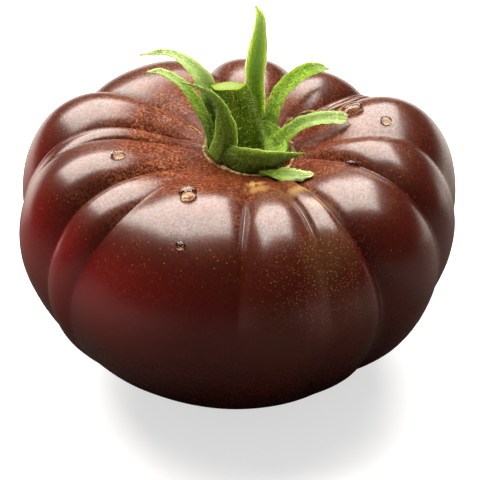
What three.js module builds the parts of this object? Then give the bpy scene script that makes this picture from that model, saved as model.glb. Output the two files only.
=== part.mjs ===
// A ripe, dark, ribbed heirloom tomato with its green calyx, as picked.
// It rests on the small flat spot at its blossom end.
// Millimetres and degrees, +Z up. The origin is the middle of the flat spot, on the surface it rests on.
import * as THREE from 'three';
import { ParametricGeometry } from 'three/addons/geometries/ParametricGeometry.js';

// ---- Fruit: driving dimensions ----

// Crest of a lobe, as radius and height: stem basin, shoulder, side, blossom end.
const CREST_PROFILE = [
  [0, 59.2], [8.5, 59.7], [14.5, 61.2], [20.5, 63.4], [27.5, 64.8], [35.5, 63.9], [43, 59.3], [48.6, 51],
  [50.6, 41], [48.3, 30], [43, 19.8], [35.2, 11], [26.2, 4.2], [17.8, 0.9], [10.5, -0.6], [0, -1],
];
const FRONT_TO_BACK = 0.97;
const BASIN_SHIFT_X = 2.5;
const BASIN_SHIFT_Y = 1;

// One entry for each lobe, anticlockwise from the front:
// at      direction of the furrow that it starts with, at the shoulder
// deep    depth of that furrow
// above   how far the furrow turns above the shoulder, per unit of the way down the skin
// below   the same below the shoulder
// fades   how far down the skin the furrow is gone
// soft    0 for a sharp crease, 1 for no furrow at all
// reach   how far the lobe stands out past the profile, and rise how far above it
// square  how far its shoulder is filled out
const LOBES = [
  { at: -89, deep: 3.9, above: -4, below: -8, fades: 0.75, soft: 0.14, reach: 0, rise: 0.4, square: 2.4 },
  { at: -66, deep: 3.0, above: 0, below: 4, fades: 0.78, soft: 0.32, reach: -0.6, rise: -0.5, square: 2.4 },
  { at: -56, deep: 4.5, above: -16, below: 52, fades: 0.95, soft: 0.2, reach: 0.9, rise: 0.2, square: 2.4 },
  { at: -28, deep: 4.5, above: -35, below: 40, fades: 0.75, soft: 0.36, reach: 0.4, rise: 2.2, square: 1.6 },
  { at: -3, deep: 4.0, above: 0, below: 0, fades: 0.75, soft: 0.45, reach: 1.6, rise: 2.0, square: 2.8 },
  { at: 33, deep: 4.0, above: 0, below: 0, fades: 0.75, soft: 0.25, reach: 0.5, rise: -2, square: 0 },
  { at: 41, deep: 4.0, above: 0, below: 0, fades: 0.75, soft: 0.35, reach: -0.1, rise: 0.2, square: 0 },
  { at: 70, deep: 5.0, above: 0, below: 0, fades: 0.75, soft: 0.25, reach: 0.3, rise: 0.4, square: 0 },
  { at: 101, deep: 6.0, above: 0, below: 0, fades: 0.75, soft: 0.22, reach: 2, rise: 2, square: 0 },
  { at: 147, deep: 5.0, above: 8, below: 8, fades: 0.75, soft: 0.22, reach: 0.2, rise: 1.6, square: 4 },
  { at: 178, deep: 4.5, above: 40, below: 45, fades: 0.75, soft: 0.28, reach: -0.6, rise: 0.8, square: 2.4 },
  { at: 187, deep: 1.8, above: 25, below: 30, fades: 0.6, soft: 0.3, reach: 1.3, rise: 0.6, square: 3.2 },
  { at: 212, deep: 5.5, above: -2, below: -4, fades: 0.75, soft: 0.34, reach: 1.6, rise: 0, square: 0.8 },
  { at: 230, deep: 3.4, above: 10, below: -50, fades: 0.75, soft: 0.45, reach: 0.8, rise: 1.8, square: -1 },
];
// Places down the skin, from the middle of the basin (0) to the middle of the blossom end (1).
const SHOULDER = 0.35;
const FURROW_STARTS = 0.07;
const FURROW_FULL = 0.34;
const FURROW_FADE_LENGTH = 0.35;
const CREASES_SOFTEN_FROM = 0.36;
const CREASES_SOFT_AT = 0.72;
const SQUARE_FROM = 0.2;
const SQUARE_MOST = 0.4;
const SQUARE_TO = 0.62;
// How the furrows turn: the most way down that counts, and how gently the two turns meet.
const TURN_LIMIT = 0.25;
const TURN_SOFTNESS = 0.003;
// Section of a lobe: the power of its arc, and of its fall into a crease and into a soft furrow.
const LOBE_ARC = 2.2;
const CREASE_FALL = 0.62;
const SOFT_FALL = 1.4;
const SIDE_SOFTNESS = 0.45;
const NEIGHBOUR_BLEND_POWER = 1.5;

// Where along the skin a lobe's reach and rise act, as place and share.
const REACH_SHARE = [[0, 0], [0.15, 0.2], [0.35, 1], [0.6, 1], [0.8, 0.2], [1, 0]];
const RISE_SHARE = [[0, 0], [0.1, 0.3], [0.28, 1], [0.45, 0.6], [0.6, 0], [1, 0]];

const COLUMNS_PER_LOBE = 8;
const FRUIT_ROWS = 30;

// ---- Calyx and stalk: driving dimensions ----

// The green disc that the sepals stand on, as radius and height.
const CALYX_PROFILE = [[0, 60.5], [7.2, 60.5], [7.8, 61.2], [7.6, 62], [5.6, 61.6], [0, 61.4]];
const CALYX_SIDES = 28;

// Middle line of the cut stalk, from the calyx to the cut, and its radius at those points.
const STALK_PATH = [
  [1.7, 1, 62.3], [1.6, 1.1, 64.5], [0.5, 2.9, 68.6], [-0.8, 4.4, 71.8], [-2.3, 6, 74.7],
];
const STALK_RADII = [4.4, 4.1, 3.9, 3.8, 3.95];
const STALK_SIDES = 18;
const STALK_RINGS = 10;

// Sepals, anticlockwise from the one that stands upright at the back:
// path    midrib from root to tip
// root    half width at the root, and wide the largest half width
// widest  share of the length where it is widest
// taper   how fully it keeps its width towards the tip
// faces   the way the upper face looks at the root, and turns at the tip
// cup     how far the edges lift
const SEPALS = [
  {
    name: 'sepal_1', root: 1.9, wide: 2.35, widest: 0.42, taper: 1.1, cup: 0.5,
    path: [[4.5, 9.1, 62.6], [4.1, 9.8, 68], [4, 10.4, 76], [4.9, 11, 84], [5.2, 11.6, 89.5],
      [4.1, 12, 92.6]],
    faces: [0, -1, 0.2], turns: [-0.2, -1, 0.2],
  },
  {
    name: 'sepal_2', root: 1.8, wide: 2.0, widest: 0.4, taper: 2.6, cup: 0.5,
    path: [[8, 7.7, 62.6], [8.5, 9.4, 66], [10.7, 13, 69], [14.5, 17, 70.6], [18.5, 21, 70.1],
      [21.8, 24, 68.3]],
    faces: [-0.6, -0.7, 0.4], turns: [-0.2, -0.6, 0.8],
  },
  {
    name: 'sepal_3', root: 1.5, wide: 1.7, widest: 0.5, taper: 3.0, cup: 0.5,
    path: [[10.6, 1.8, 62.9], [12.9, 2.9, 64.6], [16.4, 3.4, 66.6], [21.3, 3.8, 67.3], [25.5, 4, 66.9]],
    faces: [-0.5, -0.5, 0.8], turns: [0.1, -0.5, 0.85],
  },
  {
    name: 'sepal_4', root: 0.9, wide: 1.5, widest: 0.5, taper: 1.6, cup: 0.3,
    path: [[7.2, -11.2, 62], [9.4, -12, 62.5], [11.9, -12.9, 63.1], [14.4, -13.6, 63.8], [17, -14, 64.4]],
    faces: [0, -0.5, 0.85], turns: [0, -0.6, 0.8],
  },
  {
    name: 'sepal_5', root: 2.9, wide: 3.8, widest: 0.3, taper: 1.3, cup: 0.8,
    path: [[0.4, -8.4, 63.9], [4.4, -8.9, 64.1], [8.5, -9, 64.6], [12.2, -8.3, 65.2], [15.3, -7.1, 64.8]],
    faces: [0.1, 0.97, 0.25], turns: [0, 0.8, 0.6],
  },
  {
    name: 'sepal_6', root: 1.9, wide: 2.2, widest: 0.28, taper: 0.8, cup: 0.5,
    path: [[-4.6, -4.7, 62.6], [-2.9, -5.2, 67.5], [-3.3, -5.2, 73], [-5.1, -4.3, 77.8], [-8.5, -2.2, 79.4],
      [-13.1, 1, 78.9]],
    faces: [0.4, 0.9, 0.1], turns: [0.3, 0.5, 0.8],
  },
  {
    name: 'sepal_7', root: 1.6, wide: 1.6, widest: 0.3, taper: 1.2, cup: 0.4,
    path: [[-6.7, 0, 62.6], [-6.8, 0.2, 65.6], [-8.8, 1.6, 71], [-12.5, 4.6, 75.6], [-17.5, 8.2, 77],
      [-21.1, 10, 76]],
    faces: [0.9, -0.4, 0.3], turns: [0.4, -0.7, 0.6],
  },
  {
    name: 'sepal_8', root: 1.7, wide: 2.2, widest: 0.4, taper: 0.9, cup: 0.5,
    path: [[-4.6, 5.6, 62.6], [-6.4, 5.4, 67], [-7.3, 7, 73.3], [-10.5, 10, 77.3], [-16, 14.2, 78.6],
      [-23, 17, 76.3]],
    faces: [0.6, -0.7, 0.3], turns: [0.2, -0.7, 0.7],
  },
];
const SEPAL_HALF_THICKNESS = 0.4;
const SEPAL_EDGE_SHARE = 0.4;
const SEPAL_TIP_HALF_WIDTH = 0.22;
const SEPAL_SIDES = 8;
const SEPAL_RINGS = 12;

// ---- Materials ----

const skin = new THREE.MeshStandardMaterial({ color: 0x5b1812, roughness: 0.3, metalness: 0 });
const leaf = new THREE.MeshStandardMaterial({ color: 0x6a8427, roughness: 0.7, metalness: 0 });
const stalkGreen = new THREE.MeshStandardMaterial({ color: 0x4f6316, roughness: 0.75, metalness: 0 });

// ---- Helpers ----

function easeBetween(low, high, value) {
  return THREE.MathUtils.smoothstep(value, low, high);
}

function shareAt(table, place) {
  let index = 1;
  while (index < table.length - 1 && place > table[index][0]) {
    index += 1;
  }
  const [fromPlace, fromShare] = table[index - 1];
  const [toPlace, toShare] = table[index];
  return fromShare + ((toShare - fromShare) * (place - fromPlace)) / (toPlace - fromPlace);
}

function vectors(points) {
  return points.map((point) => new THREE.Vector3(...point));
}

function named(name, geometry, material) {
  const mesh = new THREE.Mesh(geometry, material);
  mesh.name = name;
  return mesh;
}

// ---- Fruit ----

const crest = new THREE.SplineCurve(CREST_PROFILE.map((point) => new THREE.Vector2(...point)));

function furrowDirection(lobe, down) {
  const past = down - SHOULDER;
  const lower = 0.5 * (past + Math.sqrt(past * past + TURN_SOFTNESS));
  const upper = past - lower;
  return lobe.at + lobe.above * upper + lobe.below * TURN_LIMIT * Math.tanh(lower / TURN_LIMIT);
}

function furrowDepth(lobe, down) {
  const opens = easeBetween(FURROW_STARTS, FURROW_FULL, down);
  const closes = easeBetween(lobe.fades - FURROW_FADE_LENGTH, lobe.fades, down);
  return lobe.deep * opens * (1 - closes);
}

function blendWithNeighbour(own, neighbour, across) {
  return own + 0.5 * (neighbour - own) * Math.abs(across) ** NEIGHBOUR_BLEND_POWER;
}

function squareShare(down) {
  return easeBetween(SQUARE_FROM, SQUARE_MOST, down) * (1 - easeBetween(SQUARE_MOST, SQUARE_TO, down));
}

// A point of the skin: shareOfLobe runs across the lobe, and down runs from the basin to the blossom end.
function skinPoint(lobeIndex, shareOfLobe, down, target) {
  const count = LOBES.length;
  const lobe = LOBES[lobeIndex];
  const next = LOBES[(lobeIndex + 1) % count];
  const previous = LOBES[(lobeIndex + count - 1) % count];
  const wholeTurn = lobeIndex === count - 1 ? 360 : 0;
  const start = furrowDirection(lobe, down);
  const end = furrowDirection(next, down) + wholeTurn;
  const direction = THREE.MathUtils.degToRad(start + (end - start) * shareOfLobe);

  const across = 2 * shareOfLobe - 1;
  const neighbour = across < 0 ? previous : next;
  const softness = easeBetween(CREASES_SOFTEN_FROM, CREASES_SOFT_AT, down);
  const fall = THREE.MathUtils.lerp(CREASE_FALL, SOFT_FALL, softness);
  const arc = Math.max(0, 1 - Math.abs(across) ** LOBE_ARC) ** fall;
  const shoulderSoft = THREE.MathUtils.lerp(lobe.soft, next.soft, easeBetween(0, 1, shareOfLobe));
  const soft = THREE.MathUtils.lerp(shoulderSoft, SIDE_SOFTNESS, softness);
  const bulge = Math.hypot(arc, soft * Math.sqrt(1 - arc * arc));
  const depth = THREE.MathUtils.lerp(
    furrowDepth(lobe, down), furrowDepth(next, down), easeBetween(0, 1, shareOfLobe));
  const square = blendWithNeighbour(lobe.square, neighbour.square, across) * squareShare(down);
  const inward = depth * (1 - bulge) - square;
  const reach = blendWithNeighbour(lobe.reach, neighbour.reach, across) * shareAt(REACH_SHARE, down);
  const rise = blendWithNeighbour(lobe.rise, neighbour.rise, across) * shareAt(RISE_SHARE, down);

  const onCrest = crest.getPoint(down);
  const along = crest.getTangent(down);
  const radius = Math.max(0, onCrest.x + along.y * inward + reach);
  const height = Math.max(0, onCrest.y - along.x * inward + rise);
  const basin = 1 - easeBetween(0, 0.5, down);
  return target.set(
    radius * Math.cos(direction) + BASIN_SHIFT_X * basin,
    radius * Math.sin(direction) * FRONT_TO_BACK + BASIN_SHIFT_Y * basin,
    height,
  );
}

function makeFruit() {
  const count = LOBES.length;
  const surface = (u, v, target) => {
    const turn = (u % 1) * count;
    const lobeIndex = Math.floor(turn);
    const shareOfLobe = 0.5 - 0.5 * Math.cos(Math.PI * (turn - lobeIndex));
    return skinPoint(lobeIndex, shareOfLobe, 1 - v, target);
  };
  return named('fruit', new ParametricGeometry(surface, count * COLUMNS_PER_LOBE, FRUIT_ROWS), skin);
}

// ---- Bodies that follow a path ----

// A closed body: section(place, angle) gives how far a point lies along the across and face directions.
function bodyAlong(path, faceAt, section, sides, rings) {
  const curve = new THREE.CatmullRomCurve3(vectors(path), false, 'catmullrom', 0.5);
  const surface = (u, v, target) => {
    const place = THREE.MathUtils.clamp((v * rings - 1) / (rings - 2), 0, 1);
    const middle = curve.getPoint(place);
    target.copy(middle);
    if (v <= 0 || v >= 1) {
      return target;
    }
    const along = curve.getTangent(place);
    const face = faceAt(place);
    face.addScaledVector(along, -face.dot(along)).normalize();
    const acrossWay = new THREE.Vector3().crossVectors(face, along);
    const [across, out] = section(place, 2 * Math.PI * (u % 1));
    return target.addScaledVector(acrossWay, across).addScaledVector(face, out);
  };
  return new ParametricGeometry(surface, sides, rings);
}

function sepalHalfWidth(sepal, place) {
  if (place < sepal.widest) {
    return THREE.MathUtils.lerp(sepal.root, sepal.wide, easeBetween(0, sepal.widest, place));
  }
  const past = (place - sepal.widest) / (1 - sepal.widest);
  return Math.min(sepal.wide, sepal.wide * (1 - past ** sepal.taper) + SEPAL_TIP_HALF_WIDTH);
}

function makeSepal(sepal) {
  const rootFace = new THREE.Vector3(...sepal.faces).normalize();
  const tipFace = new THREE.Vector3(...sepal.turns).normalize();
  const faceAt = (place) => rootFace.clone().lerp(tipFace, easeBetween(0, 1, place));
  const section = (place, angle) => {
    const halfWidth = sepalHalfWidth(sepal, place);
    const across = Math.cos(angle);
    const thinning = 1 - (1 - SEPAL_EDGE_SHARE) * across * across;
    const lift = sepal.cup * (halfWidth / sepal.wide) * across * across;
    return [halfWidth * across, lift + SEPAL_HALF_THICKNESS * thinning * Math.sin(angle)];
  };
  return named(sepal.name, bodyAlong(sepal.path, faceAt, section, SEPAL_SIDES, SEPAL_RINGS), leaf);
}

function makeStalk() {
  const lastRadius = STALK_RADII.length - 1;
  const radiusAt = (place) => {
    const index = Math.min(Math.floor(place * lastRadius), lastRadius - 1);
    return THREE.MathUtils.lerp(STALK_RADII[index], STALK_RADII[index + 1], place * lastRadius - index);
  };
  const section = (place, angle) => [radiusAt(place) * Math.cos(angle), radiusAt(place) * Math.sin(angle)];
  const faceAt = () => new THREE.Vector3(0, -1, 0);
  return named('stem', bodyAlong(STALK_PATH, faceAt, section, STALK_SIDES, STALK_RINGS), stalkGreen);
}

function makeCalyxBase() {
  const outline = CALYX_PROFILE.map((point) => new THREE.Vector2(...point));
  const mesh = named('calyx_base', new THREE.LatheGeometry(outline, CALYX_SIDES), leaf);
  mesh.rotation.x = Math.PI / 2;
  mesh.position.set(BASIN_SHIFT_X, BASIN_SHIFT_Y, 0);
  return mesh;
}

// ---- Tomato ----

const tomato = new THREE.Group();
tomato.name = 'tomato';
tomato.add(makeFruit());
tomato.add(makeCalyxBase());
tomato.add(makeStalk());
for (const sepal of SEPALS) {
  tomato.add(makeSepal(sepal));
}

export default tomato;
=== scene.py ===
"""Looks of a ripe, dark, ribbed heirloom tomato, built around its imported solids.

The fruit, the calyx, the cut stalk and the eight sepals each stand for the plain solid of the same name.
Sizes in the classes are millimetres and degrees. Meshes are metres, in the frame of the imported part.
"""

import logging
import math
from collections.abc import Mapping, Sequence
from dataclasses import dataclass, fields
from enum import Enum
from functools import reduce
from typing import Any

import bpy
import numpy as np
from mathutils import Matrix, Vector
from mathutils.bvhtree import BVHTree

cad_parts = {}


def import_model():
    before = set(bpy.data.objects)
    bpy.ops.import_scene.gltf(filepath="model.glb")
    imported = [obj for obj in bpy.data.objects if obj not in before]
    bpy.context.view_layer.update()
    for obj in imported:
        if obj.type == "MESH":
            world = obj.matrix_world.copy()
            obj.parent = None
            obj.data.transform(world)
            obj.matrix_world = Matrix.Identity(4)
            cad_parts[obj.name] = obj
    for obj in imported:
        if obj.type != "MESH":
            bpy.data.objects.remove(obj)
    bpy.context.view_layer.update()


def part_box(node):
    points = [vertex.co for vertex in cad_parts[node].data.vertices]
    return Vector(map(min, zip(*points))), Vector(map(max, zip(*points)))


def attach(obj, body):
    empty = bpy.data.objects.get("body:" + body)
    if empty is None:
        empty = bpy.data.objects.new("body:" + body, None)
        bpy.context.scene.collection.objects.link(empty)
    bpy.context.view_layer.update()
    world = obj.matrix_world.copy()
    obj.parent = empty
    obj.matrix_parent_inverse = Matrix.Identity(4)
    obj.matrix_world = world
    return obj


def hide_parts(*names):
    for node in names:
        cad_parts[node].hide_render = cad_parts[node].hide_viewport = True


LOG = logging.getLogger("tomato")

MM = 0.001
HEADING_STEP = 0.0001
BODY = "root"

Colour = tuple[float, float, float]
Point = tuple[float, float, float]
Socket = bpy.types.NodeSocket
Value = Any


class Slot(Enum):
    """The material slots of the record, by name."""

    SKIN = "skin"
    LEAF = "leaf"
    STALK = "stalk"


class PathEnds(Enum):
    """What a smooth path does past its first and last point."""

    REPEATED = "repeated"
    STRAIGHT_ON = "straight on"


# ---- Numbers and paths ----


def eased(low: float, high: float, value: np.ndarray | float) -> np.ndarray:
    """Returns how far each value is from low to high, from 0 to 1, with a soft start and end."""
    share = np.clip((np.asarray(value, float) - low) / (high - low), 0.0, 1.0)
    return share * share * (3.0 - 2.0 * share)


def unit(vectors: np.ndarray) -> np.ndarray:
    """Returns the vectors at length one."""
    return vectors / np.linalg.norm(vectors, axis=-1, keepdims=True)


def along_points(points: Sequence[Sequence[float]], places: np.ndarray, ends: PathEnds) -> np.ndarray:
    """Follows a smooth curve that passes through evenly counted points.

    Args:
        points: The points that the curve passes through.
        places: Shares of the way, 0 at the first point and 1 at the last.
        ends: How the curve treats the missing neighbours of its end points.

    Returns:
        One point for each place.
    """
    given = np.asarray(points, float)
    if ends is PathEnds.REPEATED:
        before, after = given[0], given[-1]
    else:
        before, after = 2 * given[0] - given[1], 2 * given[-1] - given[-2]
    padded = np.vstack([before, given, after])
    steps = len(given) - 1
    at = np.clip(np.asarray(places, float), 0.0, 1.0) * steps
    index = np.minimum(at.astype(int), steps - 1)
    share = (at - index)[..., None]
    p0, p1, p2, p3 = (padded[index + k] for k in range(4))
    leave, arrive = (p2 - p0) / 2, (p3 - p1) / 2
    cubic = 2 * p1 - 2 * p2 + leave + arrive
    square = -3 * p1 + 3 * p2 - 2 * leave - arrive
    return cubic * share**3 + square * share**2 + leave * share + p1


def heading_at(points: Sequence[Sequence[float]], places: np.ndarray, ends: PathEnds) -> np.ndarray:
    """Finds where a smooth curve heads at each place.

    Args:
        points: The points that the curve passes through.
        places: Places on the curve, from 0 to 1.
        ends: How the curve leaves its first point and reaches its last.

    Returns:
        The unit headings.
    """
    ahead = along_points(points, np.minimum(places + HEADING_STEP, 1.0), ends)
    behind = along_points(points, np.maximum(places - HEADING_STEP, 0.0), ends)
    return unit(ahead - behind)


def around(values: Sequence[float], directions: np.ndarray) -> np.ndarray:
    """Blends values given at equal steps of a full turn.

    Args:
        values: Values at direction 0 and at each further equal step, anticlockwise.
        directions: Directions in radians.

    Returns:
        The blended value in each direction.
    """
    count = len(values)
    at = (np.asarray(directions, float) / (2 * math.pi) % 1.0) * count
    index = at.astype(int) % count
    share = eased(0.0, 1.0, at - np.floor(at))
    given = np.asarray(values, float)
    return given[index] * (1 - share) + given[(index + 1) % count] * share


# ---- Meshes and objects ----


def capsule_faces(rings: int, columns: int, turned: bool) -> list[tuple[int, ...]]:
    """Lists the faces of a closed skin: one end point, rings of points, and the other end point.

    Args:
        rings: Number of rings between the two end points.
        columns: Number of points in a ring.
        turned: Whether the faces are listed the other way round.

    Returns:
        The corner numbers of each face.
    """
    last = 1 + rings * columns
    faces: list[tuple[int, ...]] = []
    for column in range(columns):
        beside = (column + 1) % columns
        faces.append((0, 1 + column, 1 + beside))
        tail = 1 + (rings - 1) * columns
        faces.append((last, tail + beside, tail + column))
    for ring in range(rings - 1):
        here, below = 1 + ring * columns, 1 + (ring + 1) * columns
        for column in range(columns):
            beside = (column + 1) % columns
            faces.append((here + column, below + column, below + beside, here + beside))
    return [tuple(reversed(face)) for face in faces] if turned else faces


def new_mesh(name: str, points: np.ndarray, faces: Sequence[Sequence[int]],
             marks: Mapping[str, np.ndarray]) -> bpy.types.Mesh:
    """Makes a smooth mesh that carries named values on its points.

    Args:
        name: Name of the mesh.
        points: Places of the points, in metres.
        faces: Corner numbers of each face.
        marks: Values to keep on the points, one number or one vector for each.

    Returns:
        The new mesh.
    """
    mesh = bpy.data.meshes.new(name)
    mesh.from_pydata(points.tolist(), [], [tuple(face) for face in faces])
    for label, values in marks.items():
        is_vector = values.ndim == 2
        kept = mesh.attributes.new(label, "FLOAT_VECTOR" if is_vector else "FLOAT", "POINT")
        kept.data.foreach_set("vector" if is_vector else "value", values.astype(np.float32).ravel())
    mesh.shade_smooth()
    return mesh


def new_object(name: str, data: bpy.types.ID | None) -> bpy.types.Object:
    """Adds an object to the scene.

    Args:
        name: The object's name.
        data: Its mesh, lamp or camera.

    Returns:
        The new object.
    """
    made = bpy.data.objects.new(name, data)
    bpy.context.scene.collection.objects.link(made)
    return made


def grown(name: str, start: bpy.types.Mesh, tree: bpy.types.NodeTree, sizes: Mapping[str, Value],
          finish: bpy.types.Material) -> bpy.types.Object:
    """Runs a geometry tree on a start mesh and keeps its result as a plain mesh.

    Args:
        name: Name of the finished piece.
        start: Mesh that the tree works on.
        tree: The geometry tree.
        sizes: Values for the tree's named inputs.
        finish: The piece's material.

    Returns:
        The finished piece, with no modifier on it.
    """
    former = new_object(name + "_former", start)
    modifier = former.modifiers.new("shape", "NODES")
    modifier.node_group = tree
    identifiers = {item.name: item.identifier for item in tree.interface.items_tree
                   if item.item_type == "SOCKET" and item.in_out == "INPUT"}
    for label, value in {**sizes, "Finish": finish}.items():
        modifier[identifiers[label]] = value
    graph = bpy.context.evaluated_depsgraph_get()
    shaped = former.evaluated_get(graph)
    mesh = bpy.data.meshes.new_from_object(shaped, preserve_all_data_layers=True, depsgraph=graph)
    mesh.name = name
    bpy.data.objects.remove(former)
    return new_object(name, mesh)


def seated(piece: bpy.types.Object, replaced: Sequence[str] = ()) -> None:
    """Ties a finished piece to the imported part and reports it.

    Args:
        piece: The finished piece.
        replaced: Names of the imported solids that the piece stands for.
    """
    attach(piece, BODY)
    if replaced:
        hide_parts(*replaced)
    LOG.info("%s: %d faces", piece.name, len(piece.data.polygons))


# ---- Node graphs ----


class Wiring:
    """Adds nodes to one tree and joins them, so that a graph reads as a list of steps."""

    def __init__(self, tree: bpy.types.NodeTree) -> None:
        """Starts on the tree that gets the nodes."""
        self.tree = tree

    def add(self, kind: str, inputs: Mapping[str | int, Value] | None = None,
            **settings: Value) -> bpy.types.Node:
        """Adds one node.

        Args:
            kind: The node's type name.
            inputs: A constant or a socket for each named or numbered input.
            settings: The node's own settings.

        Returns:
            The new node.
        """
        node = self.tree.nodes.new(kind)
        for label, value in settings.items():
            setattr(node, label, value)
        for label, value in (inputs or {}).items():
            self.feed(node.inputs[label], value)
        return node

    def feed(self, socket: Socket, value: Value) -> None:
        """Joins a socket to another one, or sets its constant.

        Args:
            socket: The input to feed.
            value: A constant, or the output that feeds it.
        """
        if isinstance(value, bpy.types.NodeSocket):
            self.tree.links.new(value, socket)
        elif socket.type == "RGBA" and len(value) == 3:
            socket.default_value = (*value, 1.0)
        else:
            socket.default_value = value

    def number(self, operation: str, *values: Value) -> Socket:
        """Works out one number from others.

        Args:
            operation: Name of the sum.
            values: The numbers that go in.

        Returns:
            The result's socket.
        """
        node = self.add("ShaderNodeMath", operation=operation)
        for socket, value in zip(node.inputs, values):
            self.feed(socket, value)
        return node.outputs[0]

    def times(self, *values: Value) -> Socket:
        """Multiplies several numbers."""
        return reduce(lambda product, value: self.number("MULTIPLY", product, value), values)

    def plus(self, *values: Value) -> Socket:
        """Adds several numbers."""
        return reduce(lambda total, value: self.number("ADD", total, value), values)

    def minus(self, first: Value, second: Value) -> Socket:
        """Takes the second number from the first."""
        return self.number("SUBTRACT", first, second)

    def vector(self, operation: str, *values: Value) -> Socket:
        """Works out a vector, or a length or a dot product, from vectors.

        Args:
            operation: Name of the sum.
            values: The vectors that go in.

        Returns:
            The result's socket.
        """
        node = self.add("ShaderNodeVectorMath", operation=operation)
        for socket, value in zip(node.inputs, values):
            self.feed(socket, value)
        return node.outputs["Value" if operation in ("LENGTH", "DISTANCE", "DOT_PRODUCT") else "Vector"]

    def scaled(self, vector: Value, factor: Value) -> Socket:
        """Multiplies a vector by a number."""
        return self.add("ShaderNodeVectorMath", {0: vector, "Scale": factor}, operation="SCALE").outputs[0]

    def between(self, value: Value, low: Value, high: Value, start: Value = 0.0, end: Value = 1.0,
                soft: bool = True) -> Socket:
        """Maps a value from one span to another, and stays inside the new span.

        Args:
            value: The value to map.
            low: Value that gives start.
            high: Value that gives end.
            start: Result at low.
            end: Result at high.
            soft: Whether the change eases in and out.

        Returns:
            The mapped value.
        """
        spans = {"Value": value, "From Min": low, "From Max": high, "To Min": start, "To Max": end}
        shape = "SMOOTHSTEP" if soft else "LINEAR"
        return self.add("ShaderNodeMapRange", spans, interpolation_type=shape).outputs[0]

    def blend(self, share: Value, first: Value, second: Value) -> Socket:
        """Blends two numbers."""
        node = self.add("ShaderNodeMix", {0: share, 2: first, 3: second}, data_type="FLOAT")
        return node.outputs[0]

    def tint(self, share: Value, first: Value, second: Value, way: str = "MIX") -> Socket:
        """Blends two colours, or lays the second on the first in another way."""
        node = self.add("ShaderNodeMix", {0: share, 6: first, 7: second}, data_type="RGBA", blend_type=way)
        return node.outputs[2]

    def noise(self, vector: Value, scale: Value, detail: Value, roughness: float = 0.5) -> Socket:
        """Returns a cloudy value around one half."""
        inputs = {"Vector": vector, "Scale": scale, "Detail": detail, "Roughness": roughness}
        return self.add("ShaderNodeTexNoise", inputs).outputs[0]

    def uneven(self, vector: Value, detail: float, roughness: float = 0.5) -> Socket:
        """Returns a cloudy value around zero."""
        return self.minus(self.noise(vector, 1.0, detail, roughness), 0.5)

    def split(self, vector: Value) -> list[Socket]:
        """Returns the three numbers of a vector."""
        return list(self.add("ShaderNodeSeparateXYZ", {0: vector}).outputs)

    def joined(self, x: Value, y: Value, z: Value) -> Socket:
        """Makes a vector of three numbers."""
        return self.add("ShaderNodeCombineXYZ", {0: x, 1: y, 2: z}).outputs[0]


class ShapeWiring(Wiring):
    """Wires one geometry tree, with a geometry input and output and named inputs for its sizes."""

    KINDS = {float: "NodeSocketFloat", int: "NodeSocketInt", tuple: "NodeSocketVector"}

    def __init__(self, name: str, sizes: Mapping[str, Value]) -> None:
        """Makes the tree.

        Args:
            name: Name of the tree.
            sizes: The named inputs and their values. A finish input is always added.
        """
        tree = bpy.data.node_groups.new(name, "GeometryNodeTree")
        super().__init__(tree)
        tree.interface.new_socket("Geometry", in_out="INPUT", socket_type="NodeSocketGeometry")
        for label, value in sizes.items():
            made = tree.interface.new_socket(label, in_out="INPUT", socket_type=self.KINDS[type(value)])
            made.default_value = value
        tree.interface.new_socket("Finish", in_out="INPUT", socket_type="NodeSocketMaterial")
        tree.interface.new_socket("Geometry", in_out="OUTPUT", socket_type="NodeSocketGeometry")
        self.given = self.add("NodeGroupInput")

    def size(self, label: str) -> Socket:
        """Returns one of the tree's inputs."""
        return self.given.outputs[label]

    def mark(self, label: str, vector: bool = False) -> Socket:
        """Reads a value kept on the points."""
        kind = "FLOAT_VECTOR" if vector else "FLOAT"
        return self.add("GeometryNodeInputNamedAttribute", {"Name": label}, data_type=kind).outputs[0]

    def moved(self, geometry: Socket, **change: Value) -> Socket:
        """Sets the Position of the points, or shifts them by an Offset."""
        return self.add("GeometryNodeSetPosition", {"Geometry": geometry} | change).outputs[0]

    def kept(self, geometry: Socket, label: str, value: Value) -> Socket:
        """Keeps a value on the points."""
        stored = {"Geometry": geometry, "Name": label, "Value": value}
        return self.add("GeometryNodeStoreNamedAttribute", stored).outputs[0]

    def along_normal(self, geometry: Socket, distance: Value) -> Socket:
        """Shifts the points along the surface's normal."""
        normal = self.add("GeometryNodeInputNormal").outputs[0]
        return self.moved(geometry, Offset=self.scaled(normal, distance))

    def position(self) -> Socket:
        """Reads the places of the points."""
        return self.add("GeometryNodeInputPosition").outputs[0]

    def finished(self, geometry: Socket) -> bpy.types.NodeTree:
        """Ends the tree: instances are made real and the finish is put on.

        Args:
            geometry: The shaped geometry.

        Returns:
            The whole tree.
        """
        real = self.add("GeometryNodeRealizeInstances", {"Geometry": geometry}).outputs[0]
        dressed = self.add("GeometryNodeSetMaterial", {"Geometry": real, "Material": self.size("Finish")})
        self.add("NodeGroupOutput", {0: dressed.outputs[0]})
        return self.tree


class EffectWiring(Wiring):
    """Wires one shader group that several finishes share."""

    def __init__(self, name: str, inputs: Mapping[str, Value], outputs: Sequence[str]) -> None:
        """Makes the group.

        Args:
            name: Name of the group.
            inputs: The named inputs beside Vector, and their usual values.
            outputs: Names of the masks and heights that it puts out.
        """
        tree = bpy.data.node_groups.new(name, "ShaderNodeTree")
        super().__init__(tree)
        tree.interface.new_socket("Vector", in_out="INPUT", socket_type="NodeSocketVector")
        for label, value in inputs.items():
            made = tree.interface.new_socket(label, in_out="INPUT", socket_type="NodeSocketFloat")
            made.default_value = value
        for label in outputs:
            tree.interface.new_socket(label, in_out="OUTPUT", socket_type="NodeSocketFloat")
        self.given = self.add("NodeGroupInput").outputs
        self.put_out = self.add("NodeGroupOutput")


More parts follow.
